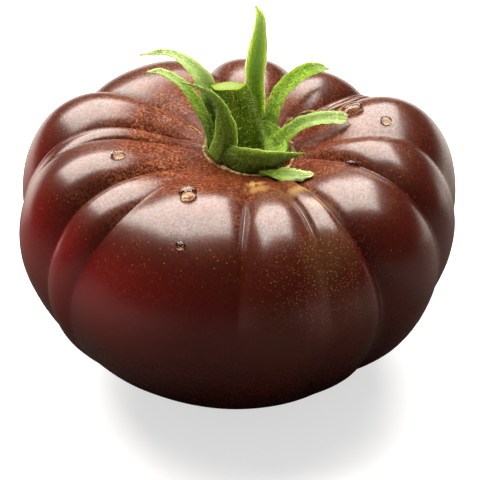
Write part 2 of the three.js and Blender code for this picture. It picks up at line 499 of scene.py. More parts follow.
@dataclass(frozen=True)
class Effects:
    """The shader groups that several finishes share. Their Vector is in millimetres."""

    grain: bpy.types.NodeTree
    mottle: bpy.types.NodeTree
    fleck: bpy.types.NodeTree

    @classmethod
    def build(cls) -> "Effects":
        """Builds the three groups once."""
        return cls(cls._grain(), cls._mottle(), cls._fleck())

    @staticmethod
    def _grain() -> bpy.types.NodeTree:
        """Builds a fine uneven height, for the grain of skin, leaf and cork.

        Returns:
            The group's tree.
        """
        wiring = EffectWiring("fine grain", {"Size": 0.4, "Fineness": 3.0}, ["Height"])
        scale = wiring.number("DIVIDE", 1.0, wiring.given["Size"])
        height = wiring.noise(wiring.given["Vector"], scale, wiring.given["Fineness"])
        wiring.feed(wiring.put_out.inputs["Height"], height)
        return wiring.tree

    @staticmethod
    def _mottle() -> bpy.types.NodeTree:
        """Builds a soft blotchy mask, for colour that drifts over a surface.

        Returns:
            The group's tree.
        """
        wiring = EffectWiring("mottle", {"Size": 10.0, "Softness": 0.15}, ["Mask"])
        scale = wiring.number("DIVIDE", 1.0, wiring.given["Size"])
        cloud = wiring.noise(wiring.given["Vector"], scale, detail=3.0)
        low, high = wiring.minus(0.5, wiring.given["Softness"]), wiring.plus(0.5, wiring.given["Softness"])
        wiring.feed(wiring.put_out.inputs["Mask"], wiring.between(cloud, low, high))
        return wiring.tree

    @staticmethod
    def _fleck() -> bpy.types.NodeTree:
        """Builds scattered round flecks of uneven brightness.

        Returns:
            The group's tree.
        """
        wiring = EffectWiring("fleck", {"Size": 0.7, "Radius": 0.3, "Coverage": 0.5}, ["Mask"])
        scale = wiring.number("DIVIDE", 1.0, wiring.given["Size"])
        cells = wiring.add("ShaderNodeTexVoronoi", {"Vector": wiring.given["Vector"], "Scale": scale})
        chance, bright, _ = wiring.split(cells.outputs["Color"])
        there = wiring.number("LESS_THAN", chance, wiring.given["Coverage"])
        core = wiring.times(wiring.given["Radius"], 0.4)
        dot = wiring.between(cells.outputs["Distance"], wiring.given["Radius"], core)
        mask = wiring.times(dot, there, wiring.between(bright, 0.0, 1.0, 0.35, 1.0, soft=False))
        wiring.feed(wiring.put_out.inputs["Mask"], mask)
        return wiring.tree


class FinishWiring(Wiring):
    """Wires one material around a Principled shader."""

    def __init__(self, name: str, effects: Effects) -> None:
        """Makes the material.

        Args:
            name: Name of the material.
            effects: The shared shader groups.
        """
        self.material = bpy.data.materials.new(name)
        self.material.use_nodes = True
        super().__init__(self.material.node_tree)
        self.shader = self.tree.nodes["Principled BSDF"]
        self.effects = effects
        place = self.add("ShaderNodeTexCoord").outputs["Object"]
        self.millimetres = self.scaled(place, 1 / MM)

    def mark(self, label: str) -> Socket:
        """Reads a number kept on the points."""
        return self.add("ShaderNodeAttribute", attribute_name=label).outputs["Fac"]

    def marked_vector(self, label: str) -> Socket:
        """Reads a vector kept on the points."""
        return self.add("ShaderNodeAttribute", attribute_name=label).outputs["Vector"]

    def effect(self, group: bpy.types.NodeTree, vector: Value = None, **values: float) -> Socket:
        """Places a shared group with its own values.

        Args:
            group: The shared group.
            vector: What it is laid on, or None for the surface in millimetres.
            values: Values for its named inputs.

        Returns:
            The group's first output.
        """
        node = self.add("ShaderNodeGroup", node_tree=group)
        self.feed(node.inputs["Vector"], self.millimetres if vector is None else vector)
        for label, value in values.items():
            self.feed(node.inputs[label], value)
        return node.outputs[0]

    def surface(self, colour: Value, roughness: Value) -> None:
        """Feeds the shader its colour and its roughness."""
        self.feed(self.shader.inputs["Base Color"], colour)
        self.feed(self.shader.inputs["Roughness"], roughness)

    def constants(self, **values: Value) -> None:
        """Sets constants on the shader's own sockets. An underscore in a name stands for a space."""
        for label, value in values.items():
            self.feed(self.shader.inputs[label.replace("_", " ")], value)

    def bumps(self, *heights: tuple[Value, float]) -> None:
        """Lays one or more bump heights on the shader.

        Args:
            heights: Pairs of a height from 0 to 1 and how many millimetres it stands for.
        """
        normal = None
        for height, deep in heights:
            inputs = {"Height": height, "Distance": deep * MM, "Strength": 1.0}
            if normal is not None:
                inputs["Normal"] = normal
            normal = self.add("ShaderNodeBump", inputs).outputs[0]
        self.feed(self.shader.inputs["Normal"], normal)


# ---- Finishes ----


@dataclass(frozen=True)
class Stain:
    """A pale or tan spot on the skin, with a ragged edge."""

    at: Point
    radius: float
    strength: float


@dataclass(frozen=True)
class SkinFinish:
    """Dark glossy skin: maroon sides, bronze shoulders, a copper basin, golden flecks and tan stains.

    Each pair named to_ says where a colour begins and where it is full: to_left and to_maroon in
    millimetres across the fruit, the others as shares of the way from the basin to the blossom end.
    """

    maroon: Colour = (0.135, 0.0022, 0.0028)
    wine: Colour = (0.052, 0.001, 0.0007)
    deep: Colour = (0.018, 0.0005, 0.0004)
    brown: Colour = (0.03, 0.0026, 0.0008)
    bronze: Colour = (0.04, 0.005, 0.0007)
    copper: Colour = (0.094, 0.0135, 0.005)
    rust: Colour = (0.05, 0.0048, 0.0013)
    gold: Colour = (0.6, 0.22, 0.085)
    tan: Colour = (0.3, 0.19, 0.06)
    scar: Colour = (0.2, 0.11, 0.05)
    glow: Colour = (1.0, 0.42, 0.2)
    to_left: tuple[float, float] = (14.0, -26.0)
    to_maroon: tuple[float, float] = (-8.0, -40.0)
    to_sides: tuple[float, float] = (0.36, 0.48)
    to_underside: tuple[float, float] = (0.48, 0.62)
    to_shoulder: tuple[float, float] = (0.44, 0.24)
    to_basin: tuple[float, float] = (0.33, 0.17)
    to_rust: tuple[float, float] = (0.32, 0.1)
    to_dust: tuple[float, float] = (0.42, 0.2)
    to_spots: tuple[float, float] = (0.58, 0.32)
    to_dark: tuple[float, float] = (0.5, 0.25)
    to_blossom: tuple[float, float] = (0.955, 0.985)
    gilt_at: Point = (18.0, -39.0, 55.0)
    gilt_reach: float = 19.0
    stains: tuple[Stain, ...] = (
        Stain((3.6, -15.0, 62.4), 2.4, 0.75),
        Stain((4.0, -19.5, 63.4), 3.4, 0.4),
        Stain((14.0, -20.5, 64.0), 3.2, 0.5),
        Stain((17.5, -26.5, 64.0), 3.6, 0.3),
        Stain((12.0, 12.2, 61.3), 1.8, 0.6),
        Stain((38.0, -7.5, 63.0), 3.0, 0.3),
        Stain((18.5, -37.0, 58.0), 9.0, 0.08),
        Stain((20.0, -42.0, 48.0), 11.0, 0.05),
    )

    def build(self, effects: Effects) -> bpy.types.Material:
        """Builds the material.

        Args:
            effects: The shared shader groups.

        Returns:
            The skin's material.
        """
        wiring = FinishWiring("tomato_skin", effects)
        down, across = wiring.mark("way_down"), wiring.mark("across")
        run = wiring.marked_vector("run")
        from_left = wiring.split(wiring.millimetres)[0]
        clouds = wiring.effect(effects.mottle, Size=16.0, Softness=0.16)
        patches = wiring.effect(effects.mottle, Size=5.0, Softness=0.2)
        streaks = wiring.effect(effects.mottle, run, Size=0.11, Softness=0.12)
        left = wiring.between(from_left, *self.to_left)

        red = wiring.tint(wiring.between(from_left, *self.to_maroon), self.wine, self.maroon)
        colour = wiring.tint(wiring.between(down, *self.to_sides), self.brown, red)
        colour = wiring.tint(wiring.between(down, *self.to_underside, 0.0, 0.9), colour, self.deep)
        shaded = wiring.times(wiring.between(across, 0.5, 1.0, 0.0, 0.4), wiring.between(down, 0.6, 0.3))
        colour = wiring.tint(shaded, colour, self.deep)
        right_brown = wiring.times(wiring.between(left, 0.0, 1.0, 0.7, 0.1), wiring.between(down, 0.75, 0.5))
        colour = wiring.tint(wiring.times(right_brown, clouds), colour, self.bronze)
        shoulder = wiring.times(wiring.between(down, *self.to_shoulder), wiring.blend(patches, 0.5, 0.9))
        colour = wiring.tint(shoulder, colour, self.bronze)
        basin = wiring.between(down, *self.to_basin)
        coppery = wiring.times(basin, wiring.blend(left, 0.45, 1.0), wiring.blend(streaks, 0.4, 1.0))
        colour = wiring.tint(coppery, colour, self.copper)
        rusty = wiring.times(wiring.between(down, *self.to_rust), streaks, 0.5)
        colour = wiring.tint(rusty, colour, self.rust)

        dust = wiring.effect(effects.mottle, Size=0.6, Softness=0.1)
        dusty = wiring.times(wiring.between(down, *self.to_dust, 0.02, 0.36), wiring.blend(left, 0.6, 1.0))
        colour = wiring.tint(wiring.times(dust, dusty, wiring.blend(patches, 0.35, 1.0)), colour, self.gold)
        spots = wiring.effect(effects.fleck, wiring.scaled(wiring.millimetres, 1.13), Size=1.0,
                              Radius=0.22, Coverage=0.42)
        spotted = wiring.times(wiring.between(down, *self.to_spots, 0.0, 0.6),
                               wiring.blend(clouds, 0.3, 1.0))
        colour = wiring.tint(wiring.times(spots, spotted), colour, self.gold)
        near_gilt = wiring.between(wiring.vector("DISTANCE", wiring.millimetres, self.gilt_at),
                                   self.gilt_reach, 0.0)
        gilt = wiring.effect(effects.fleck, Size=0.55, Radius=0.36, Coverage=0.75)
        colour = wiring.tint(wiring.times(gilt, near_gilt, 0.55), colour, self.gold)
        dark = wiring.effect(effects.mottle, wiring.scaled(wiring.millimetres, 1.37), Size=0.8, Softness=0.1)
        dark = wiring.times(dark, wiring.between(down, *self.to_dark, 0.1, 1.0))
        colour = wiring.tint(wiring.times(dark, 0.6), colour, self.deep)

        for stain in self.stains:
            away = wiring.vector("DISTANCE", wiring.millimetres, stain.at)
            ragged = wiring.plus(away, wiring.times(wiring.minus(streaks, 0.5), 1.6))
            share = wiring.between(ragged, stain.radius, stain.radius * 0.25, 0.0, stain.strength)
            colour = wiring.tint(share, colour, self.tan)
        blossom = wiring.times(wiring.between(down, *self.to_blossom), wiring.blend(patches, 0.4, 0.9))
        colour = wiring.tint(blossom, colour, self.scar)
        wiring.surface(colour, wiring.plus(wiring.blend(clouds, 0.42, 0.5), wiring.times(blossom, 0.2)))

        dull_from = wiring.blend(left, 0.26, 0.31)
        dulled = wiring.times(wiring.between(down, dull_from, wiring.minus(dull_from, 0.07)),
                              wiring.blend(streaks, 0.85, 1.0))
        polish = wiring.times(wiring.blend(dulled, 1.0, 0.04), wiring.blend(dust, 1.0, 0.75),
                              wiring.blend(dark, 1.0, 0.8))
        wiring.feed(wiring.shader.inputs["Coat Weight"], polish)
        wiring.constants(IOR=1.4, Specular_IOR_Level=0.15, Specular_Tint=self.glow, Coat_Roughness=0.25,
                         Coat_IOR=1.58)
        fine = wiring.effect(effects.grain, Size=0.3, Fineness=1.0)
        orange_peel = wiring.effect(effects.grain, Size=1.4, Fineness=2.0)
        wiring.bumps((orange_peel, 0.02), (fine, 0.022), (dust, 0.008))
        return wiring.material


GREEN_SHINE: Mapping[str, Value] = {
    "IOR": 1.3, "Specular_IOR_Level": 0.2, "Specular_Tint": (0.8, 1.0, 0.15),
    "Sheen_Weight": 0.02, "Sheen_Roughness": 0.4, "Sheen_Tint": (0.8, 1.0, 0.25),
}


@dataclass(frozen=True)
class LeafFinish:
    """Downy green of the sepals: deep in the middle, pale along the edges and towards the tip; where a sepal
    is set pale from near its root, that paleness is painted light.
    """

    name: str
    deep: Colour = (0.041, 0.086, 0.0005)
    fresh: Colour = (0.074, 0.145, 0.002)
    bright: Colour = (0.2, 0.31, 0.035)
    pale: Colour = (0.4, 0.49, 0.25)
    dry: Colour = (0.26, 0.17, 0.06)
    paleness_and_painted_light: float = 0.5
    pale_from: float = 0.45
    seen_through: float = 0.3
    least_depth: float = 0.4
    added_depth: float = 4.0
    to_fresh: tuple[float, float] = (0.15, 0.95)
    to_bright_edge: tuple[float, float] = (0.8, 1.0)
    to_dry_tip: tuple[float, float] = (0.955, 1.0)
    to_vein: tuple[float, float] = (0.6, 1.0)
    veins: int = 3

    def build(self, effects: Effects) -> bpy.types.Material:
        """Builds the material.

        Args:
            effects: The shared shader groups.

        Returns:
            The leaf material.
        """
        wiring = FinishWiring(self.name, effects)
        place, edge = wiring.mark("place"), wiring.mark("edge")
        under = wiring.mark("under")
        clouds = wiring.effect(effects.mottle, Size=4.0, Softness=0.2)
        fuzz = wiring.effect(effects.mottle, Size=0.6, Softness=0.14)
        body = wiring.tint(wiring.blend(clouds, 0.1, 0.7), self.deep, self.fresh)
        body = wiring.tint(wiring.times(wiring.between(place, *self.to_fresh), 0.55), body, self.fresh)
        # Paler towards the tip: the sepals' own pale tips, and painted light on a sepal set pale from near
        # its root, as sepal_1 is.
        pale_and_lit_share = wiring.times(wiring.between(place, self.pale_from, 1.0), self.paleness_and_painted_light)
        body = wiring.tint(pale_and_lit_share, body, self.pale)
        body = wiring.tint(wiring.times(wiring.between(edge, *self.to_bright_edge), 0.35), body, self.bright)
        body = wiring.tint(wiring.times(under, 0.25), body, self.bright)
        body = wiring.tint(wiring.times(fuzz, 0.55), body, self.bright)
        hairs = wiring.effect(effects.fleck, Size=0.42, Radius=0.4, Coverage=0.6)
        body = wiring.tint(wiring.times(hairs, 0.4), body, self.pale)
        veins = wiring.number("COSINE", wiring.times(edge, self.veins * math.pi))
        body = wiring.tint(wiring.times(wiring.between(veins, *self.to_vein), 0.18), body, self.bright)
        tip = wiring.times(wiring.between(place, *self.to_dry_tip), wiring.blend(clouds, 0.4, 0.9))
        body = wiring.tint(tip, body, self.dry)
        wiring.surface(body, wiring.blend(fuzz, 0.55, 0.75))
        wiring.constants(**GREEN_SHINE, Subsurface_Weight=self.seen_through,
                         Subsurface_Scale=(self.least_depth + self.added_depth * self.seen_through) * MM,
                         Subsurface_Radius=(0.85, 1.0, 0.4))
        grain = wiring.effect(effects.grain, Size=0.35, Fineness=2.0)
        wiring.bumps((veins, 0.04), (grain, 0.16))
        return wiring.material


@dataclass(frozen=True)
class StalkFinish:
    """Downy dark green of the stalk, with a pale, wet cut across its end."""

    deep: Colour = (0.022, 0.039, 0.0006)
    fresh: Colour = (0.064, 0.1, 0.002)
    rind: Colour = (0.13, 0.19, 0.02)
    pith: Colour = (0.17, 0.21, 0.07)
    to_fresh: tuple[float, float] = (0.72, 1.0)
    to_cut: tuple[float, float] = (0.02, 0.1)
    to_pith: tuple[float, float] = (0.2, 0.65)
    ring_rises: tuple[float, float] = (0.3, 0.42)
    ring_falls: tuple[float, float] = (0.55, 0.43)

    def build(self, effects: Effects) -> bpy.types.Material:
        """Builds the material.

        Args:
            effects: The shared shader groups.

        Returns:
            The stalk material.
        """
        wiring = FinishWiring("stalk_green", effects)
        place, cut = wiring.mark("place"), wiring.mark("cut")
        run = wiring.marked_vector("run")
        streaks = wiring.effect(effects.mottle, run, Size=0.35, Softness=0.2)
        fuzz = wiring.effect(effects.mottle, Size=0.5, Softness=0.22)
        body = wiring.tint(wiring.blend(streaks, 0.1, 0.7), self.deep, self.fresh)
        body = wiring.tint(wiring.times(wiring.between(place, *self.to_fresh), 0.6), body, self.fresh)
        body = wiring.tint(wiring.times(fuzz, 0.2), body, self.rind)
        heart = wiring.tint(wiring.between(cut, *self.to_pith), self.rind, self.pith)
        ring = wiring.times(wiring.between(cut, *self.ring_rises), wiring.between(cut, *self.ring_falls))
        heart = wiring.tint(wiring.times(ring, 0.5), heart, self.rind)
        heart = wiring.tint(wiring.times(fuzz, 0.5), heart, self.rind)
        body = wiring.tint(wiring.between(cut, *self.to_cut), body, heart)
        wiring.surface(body, wiring.blend(cut, 0.62, 0.4))
        wiring.constants(**GREEN_SHINE, Subsurface_Weight=0.1, Subsurface_Scale=0.6 * MM,
                         Subsurface_Radius=(0.6, 1.0, 0.12))
        grain = wiring.effect(effects.grain, Size=0.35, Fineness=2.0)
        wiring.bumps((streaks, 0.08), (grain, 0.2))
        return wiring.material


@dataclass(frozen=True)
class DownFinish:
    """Pale plant hair, greener at its root."""

    root: Colour = (0.13, 0.21, 0.02)
    tip: Colour = (0.38, 0.47, 0.12)

    def build(self, effects: Effects) -> bpy.types.Material:
        """Builds the hair material.

        Args:
            effects: The shared shader groups.

        Returns:
            The material.
        """
        wiring = FinishWiring("plant_down", effects)
        tone = wiring.effect(effects.mottle, Size=0.9, Softness=0.3)
        colour = wiring.tint(wiring.mark("hair_place"), self.root, self.tip)
        colour = wiring.tint(wiring.times(tone, 0.4), colour, self.tip)
        wiring.surface(colour, wiring.blend(tone, 0.4, 0.6))
        wiring.constants(IOR=1.4, Sheen_Weight=0.2, Sheen_Roughness=0.3)
        return wiring.material


@dataclass(frozen=True)
class CorkFinish:
    """Dry tan cork where the skin grew round the calyx."""

    tan: Colour = (0.34, 0.22, 0.07)
    brown: Colour = (0.12, 0.045, 0.014)

    def build(self, effects: Effects) -> bpy.types.Material:
        """Builds the cork material.

        Args:
            effects: The shared shader groups.

        Returns:
            The material.
        """
        wiring = FinishWiring("dry_cork", effects)
        blotches = wiring.effect(effects.mottle, Size=0.9, Softness=0.12)
        grit = wiring.effect(effects.fleck, Size=0.5, Radius=0.3, Coverage=0.5)
        colour = wiring.tint(blotches, self.tan, self.brown)
        colour = wiring.tint(wiring.times(grit, 0.5), colour, self.brown)
        wiring.surface(colour, wiring.blend(blotches, 0.65, 0.85))
        wiring.constants(IOR=1.4, Sheen_Weight=0.1)
        grain = wiring.effect(effects.grain, Size=0.3, Fineness=3.0)
        wiring.bumps((grain, 0.12))
        return wiring.material


@dataclass(frozen=True)
class WaterFinish:
    """Clear water with a very slight ripple."""

    clear: Colour = (1.0, 0.8, 0.56)

    def build(self, effects: Effects) -> bpy.types.Material:
        """Builds the water material.

        Args:
            effects: The shared shader groups.

        Returns:
            The material.
        """
        wiring = FinishWiring("clear_water", effects)
        wiring.constants(Base_Color=self.clear, IOR=1.333, Roughness=0.0, Transmission_Weight=1.0)
        ripple = wiring.effect(effects.grain, Size=1.5, Fineness=0.0)
        wiring.bumps((ripple, 0.02))
        return wiring.material


@dataclass(frozen=True)
class FloorFinish:
    """Plain pale card, lit a little from below like a light table, and dim in reflections.

    The reflections see it darkest near the fruit, brighter past sides and brightest past rear.
    """

    pale: Colour = (0.50, 0.50, 0.50)
    shade: Colour = (0.48, 0.48, 0.48)
    near_gloss: Colour = (0.045, 0.03, 0.026)
    side_gloss: Colour = (0.1, 0.08, 0.075)
    far_gloss: Colour = (0.42, 0.4, 0.37)
    glow: Colour = (0.62, 0.62, 0.62)
    sides: tuple[float, float] = (60.0, 130.0)
    rear: tuple[float, float] = (45.0, 150.0)

    def build(self, effects: Effects) -> bpy.types.Material:
        """Builds the floor material.

        Args:
            effects: The shared shader groups.

        Returns:
            The material.
        """
        wiring = FinishWiring("pale_card", effects)
        cloud = wiring.effect(effects.mottle, Size=60.0, Softness=0.3)
        rays = wiring.add("ShaderNodeLightPath").outputs
        card = wiring.tint(cloud, self.pale, self.shade)
        sideways, backwards, _ = wiring.split(wiring.millimetres)
        beside = wiring.between(wiring.number("ABSOLUTE", sideways), *self.sides)
        in_gloss = wiring.tint(beside, self.near_gloss, self.side_gloss)
        in_gloss = wiring.tint(wiring.between(backwards, *self.rear), in_gloss, self.far_gloss)
        card = wiring.tint(rays["Is Glossy Ray"], card, in_gloss)
        wiring.feed(wiring.shader.inputs["Base Color"], card)
        glow = wiring.tint(rays["Is Camera Ray"], (0.0, 0.0, 0.0), self.glow)
        wiring.feed(wiring.shader.inputs["Emission Color"], glow)
        wiring.constants(Roughness=0.9, Specular_IOR_Level=0.0, Emission_Strength=1.0)
        return wiring.material


# ---- Fruit ----


@dataclass(frozen=True)
class Lobe:
    """One lobe of the fruit and the furrow that it starts with.

    The furrow lies in direction at on the shoulder, is deep there, turns by above and below for each
    share of the way down, and is gone where it fades. Soft 0 makes it a sharp crease, and soft 1 nothing.
    The lobe reaches past the profile, rises above it, and its shoulder is filled out by square.
    """

    at: float
    deep: float
    above: float
    below: float
    fades: float
    soft: float
    reach: float
    rise: float
    square: float


@dataclass(frozen=True)
class FruitSkin:
    """The ribbed fruit: a crest profile swept round the axis, drawn in between its lobes."""

    crest: tuple[tuple[float, float], ...] = (
        (0, 59.2), (8.5, 59.7), (14.5, 61.2), (20.5, 63.4), (27.5, 64.8), (35.5, 63.9), (43, 59.3),
        (48.6, 51), (50.6, 41), (48.3, 30), (43, 19.8), (35.2, 11), (26.2, 4.2), (17.8, 0.9), (10.5, -0.6),
        (0, -1),
    )
    lobes: tuple[Lobe, ...] = (
        Lobe(-89, 3.9, -4, -8, 0.75, 0.14, 0, 0.4, 2.4),
        Lobe(-66, 3.0, 0, 4, 0.78, 0.32, -0.6, -0.5, 2.4),
        Lobe(-56, 4.5, -16, 52, 0.95, 0.2, 0.9, 0.2, 2.4),
        Lobe(-28, 4.5, -35, 40, 0.75, 0.36, 0.4, 2.2, 1.6),
        Lobe(-3, 4.0, 0, 0, 0.75, 0.45, 1.6, 2, 2.8),
        Lobe(33, 4.0, 0, 0, 0.75, 0.25, 0.5, -2, 0),
        Lobe(41, 4.0, 0, 0, 0.75, 0.35, -0.1, 0.2, 0),
        Lobe(70, 5.0, 0, 0, 0.75, 0.25, 0.3, 0.4, 0),
        Lobe(101, 6.0, 0, 0, 0.75, 0.22, 2, 2, 0),
        Lobe(147, 5.0, 8, 8, 0.75, 0.22, 0.2, 1.6, 4),
        Lobe(178, 4.5, 40, 45, 0.75, 0.28, -0.6, 0.8, 2.4),
        Lobe(187, 1.8, 25, 30, 0.6, 0.3, 1.3, 0.6, 3.2),
        Lobe(212, 5.5, -2, -4, 0.75, 0.34, 1.6, 0, 0.8),
        Lobe(230, 3.4, 10, -50, 0.75, 0.45, 0.8, 1.8, -1),
    )
    shoulder: float = 0.35
    furrow_starts: float = 0.07
    furrow_full: float = 0.34
    fade_length: float = 0.35
    turn_limit: float = 0.25
    turn_softness: float = 0.003
    neighbour_power: float = 1.5
    reach_share: tuple[tuple[float, float], ...] = (
        (0, 0), (0.15, 0.2), (0.35, 1), (0.6, 1), (0.8, 0.2), (1, 0),
    )
    rise_share: tuple[tuple[float, float], ...] = (
        (0, 0), (0.1, 0.3), (0.28, 1), (0.45, 0.6), (0.6, 0), (1, 0),
    )
    square_places: tuple[float, float, float] = (0.2, 0.4, 0.62)
    lobe_arc: float = 2.2
    crease_fall: float = 0.62
    soft_fall: float = 1.4
    softens_from: float = 0.36
    soft_at: float = 0.72
    side_softness: float = 0.45
    front_to_back: float = 0.97
    unevenness: float = 0.5
    unevenness_size: float = 17.0
    ripple: float = 0.09
    ripple_size: float = 4.5
    basin_wrinkle: float = 0.3
    wrinkles_per_radian: float = 5.5
    streak_stretch: float = 0.35
    wrinkles_start: tuple[float, float] = (0.03, 0.1)
    wrinkles_end: tuple[float, float] = (0.34, 0.16)
    even_up_to: float = 1.0
    uneven_from: float = 14.0
    blossom_dimple: float = 0.8
    blossom_from: float = 0.955
    columns_per_lobe: int = 32
    rows: int = 210

    def _furrow_direction(self, at: np.ndarray, above: np.ndarray, below: np.ndarray,
                          down: np.ndarray) -> np.ndarray:
        """Finds the direction of a furrow on its way down, in degrees.

        Args:
            at: Direction at the shoulder.
            above: Turn above the shoulder, per share of the way down.
            below: Turn below the shoulder, per share of the way down.
            down: Places on the way down.

        Returns:
            The directions at those places.
        """
        past = down - self.shoulder
        lower = 0.5 * (past + np.sqrt(past**2 + self.turn_softness))
        limited = self.turn_limit * np.tanh(lower / self.turn_limit)
        return at + above * (past - lower) + below * limited

    def _furrow_depth(self, deep: np.ndarray, fades: np.ndarray, down: np.ndarray) -> np.ndarray:
        """Returns how deep a furrow is on its way down."""
        closes = eased(fades - self.fade_length, fades, down)
        return deep * eased(self.furrow_starts, self.furrow_full, down) * (1 - closes)

    def _blended(self, values: np.ndarray, lobe: np.ndarray, across: np.ndarray) -> np.ndarray:
        """Blends a lobe's value towards its neighbour's, half way at the furrow between them.

        Args:
            values: One value for each lobe.
            lobe: The lobe that each column belongs to.
            across: Where each column lies on its lobe, from -1 to 1.

        Returns:
            One value for each column.
        """
        count = len(values)
        neighbour = np.where(across < 0, values[(lobe - 1) % count], values[(lobe + 1) % count])
        return values[lobe] + 0.5 * (neighbour - values[lobe]) * np.abs(across) ** self.neighbour_power

    def start_mesh(self) -> bpy.types.Mesh:
        """Makes the closed start mesh, whose points carry the lobe values that the tree shapes.

        Returns:
            The start mesh.
        """
        count = len(self.lobes)
        at, deep, above, below, fades, soft, reach, rise, square = (
            np.array([getattr(lobe, field.name) for lobe in self.lobes], float) for field in fields(Lobe))
        lobe = np.repeat(np.arange(count), self.columns_per_lobe)
        step = np.tile(np.arange(self.columns_per_lobe) / self.columns_per_lobe, count)
        share = 0.5 - 0.5 * np.cos(math.pi * step)
        following = (lobe + 1) % count
        whole_turn = np.where(following == 0, 360.0, 0.0)
        down = np.linspace(0, 1, self.rows + 1)[1:-1][:, None]

        start = self._furrow_direction(at[lobe], above[lobe], below[lobe], down)
        end = self._furrow_direction(at[following], above[following], below[following], down) + whole_turn
        direction = np.radians(start + (end - start) * share)
        across = np.broadcast_to(2 * share - 1, direction.shape)
        own = self._furrow_depth(deep[lobe], fades[lobe], down)
        other = self._furrow_depth(deep[following], fades[following], down)
        furrow = own + (other - own) * eased(0, 1, share)
        softness = soft[lobe] + (soft[following] - soft[lobe]) * eased(0, 1, share)
        reaches = self._blended(reach, lobe, across) * np.interp(down, *np.array(self.reach_share).T)
        rises = self._blended(rise, lobe, across) * np.interp(down, *np.array(self.rise_share).T)
        square_from, square_most, square_to = self.square_places
        squaring = eased(square_from, square_most, down) * (1 - eased(square_most, square_to, down))
        squares = self._blended(square, lobe, across) * squaring

        places = np.linspace(0, 1, self.rows + 1)
        crest = along_points(self.crest, places, PathEnds.REPEATED)
        heading = heading_at(self.crest, places, PathEnds.REPEATED)

        def with_ends(inner: np.ndarray, first: float, last: float) -> np.ndarray:
            """Adds the values of the two end points to those of the rings."""
            return np.concatenate([[first], inner.ravel(), [last]])

        def by_row(values: np.ndarray) -> np.ndarray:
            """Gives each point the value of its row."""
            inner = np.broadcast_to(values[1:-1][:, None], direction.shape)
            return with_ends(inner, values[0], values[-1])

        turn = with_ends(direction, 0, 0)
        run = np.stack([np.cos(turn), np.sin(turn), by_row(places) * self.streak_stretch], 1)
        marks = {
            "direction": turn,
            "across": np.abs(with_ends(across, 0, 0)),
            "furrow": with_ends(furrow, 0, 0) * MM,
            "soft": with_ends(np.broadcast_to(softness, direction.shape), 0, 0),
            "reach": with_ends(reaches, 0, 0) * MM,
            "rise": with_ends(rises, 0, 0) * MM,
            "square": with_ends(squares, 0, 0) * MM,
            "way_down": by_row(places),
            "crest_radius": by_row(crest[:, 0]) * MM,
            "crest_height": by_row(crest[:, 1]) * MM,
            "outward": by_row(-heading[:, 1]),
            "upward": by_row(heading[:, 0]),
            "run": run,
        }
        points = np.zeros((len(turn), 3))
        points[:, 0], points[:, 1], points[:, 2] = run[:, 0] * MM, run[:, 1] * MM, marks["crest_height"]
        faces = capsule_faces(self.rows - 1, count * self.columns_per_lobe, turned=False)
        return new_mesh("fruit_start", points, faces, marks)

    def sizes(self, basin: Vector) -> dict[str, Value]:
        """Lists the values of the tree's named inputs.

        Args:
            basin: How far the basin lies off the axis, in metres.

        Returns:
            Each input's name and value.
        """
        return {
            "Lobe arc": self.lobe_arc,
            "Crease fall": self.crease_fall,
            "Soft fall": self.soft_fall,
            "Softens from": self.softens_from,
            "Soft at": self.soft_at,
            "Side softness": self.side_softness,
            "Front to back": self.front_to_back,
            "Basin shift": (basin.x, basin.y, 0.0),
            "Unevenness": self.unevenness * MM,
            "Unevenness size": 1 / (self.unevenness_size * MM),
            "Ripple": self.ripple * MM,
            "Ripple size": 1 / (self.ripple_size * MM),
            "Basin wrinkle": self.basin_wrinkle * MM,
            "Blossom dimple": self.blossom_dimple * MM,
        }

    def tree(self, sizes: Mapping[str, Value]) -> bpy.types.NodeTree:
        """Builds the tree that draws the skin in between its lobes and makes it slightly uneven.

        Args:
            sizes: The tree's named inputs and their values.

        Returns:
            The whole tree.
        """
        wiring = ShapeWiring("lobed skin", sizes)
        down, across = wiring.mark("way_down"), wiring.mark("across")
        softness = wiring.between(down, wiring.size("Softens from"), wiring.size("Soft at"))
        fall = wiring.blend(softness, wiring.size("Crease fall"), wiring.size("Soft fall"))
        arc = wiring.minus(1.0, wiring.number("POWER", across, wiring.size("Lobe arc")))
        bulge = wiring.number("POWER", wiring.number("MAXIMUM", arc, 0.0), fall)
        valley = wiring.blend(softness, wiring.mark("soft"), wiring.size("Side softness"))
        lifted = wiring.times(valley, valley, wiring.minus(1.0, wiring.times(bulge, bulge)))
        bulge = wiring.number("SQRT", wiring.plus(wiring.times(bulge, bulge), lifted))
        inward = wiring.minus(wiring.times(wiring.mark("furrow"), wiring.minus(1.0, bulge)),
                              wiring.mark("square"))

        radius, height = (
            wiring.number("MAXIMUM", wiring.plus(
                wiring.minus(wiring.mark(crest), wiring.times(wiring.mark(way), inward)),
                wiring.mark(added)), 0.0)
            for crest, way, added in (
                ("crest_radius", "outward", "reach"),
                ("crest_height", "upward", "rise"),
            ))
        direction = wiring.mark("direction")
        x = wiring.times(radius, wiring.number("COSINE", direction))
        y = wiring.times(radius, wiring.number("SINE", direction), wiring.size("Front to back"))
        basin = wiring.between(down, 0.0, 0.5, 1.0, 0.0)
        shifted = wiring.vector("ADD", wiring.joined(x, y, height),
                                wiring.scaled(wiring.size("Basin shift"), basin))
        skin = wiring.moved(wiring.size("Geometry"), Position=shifted)

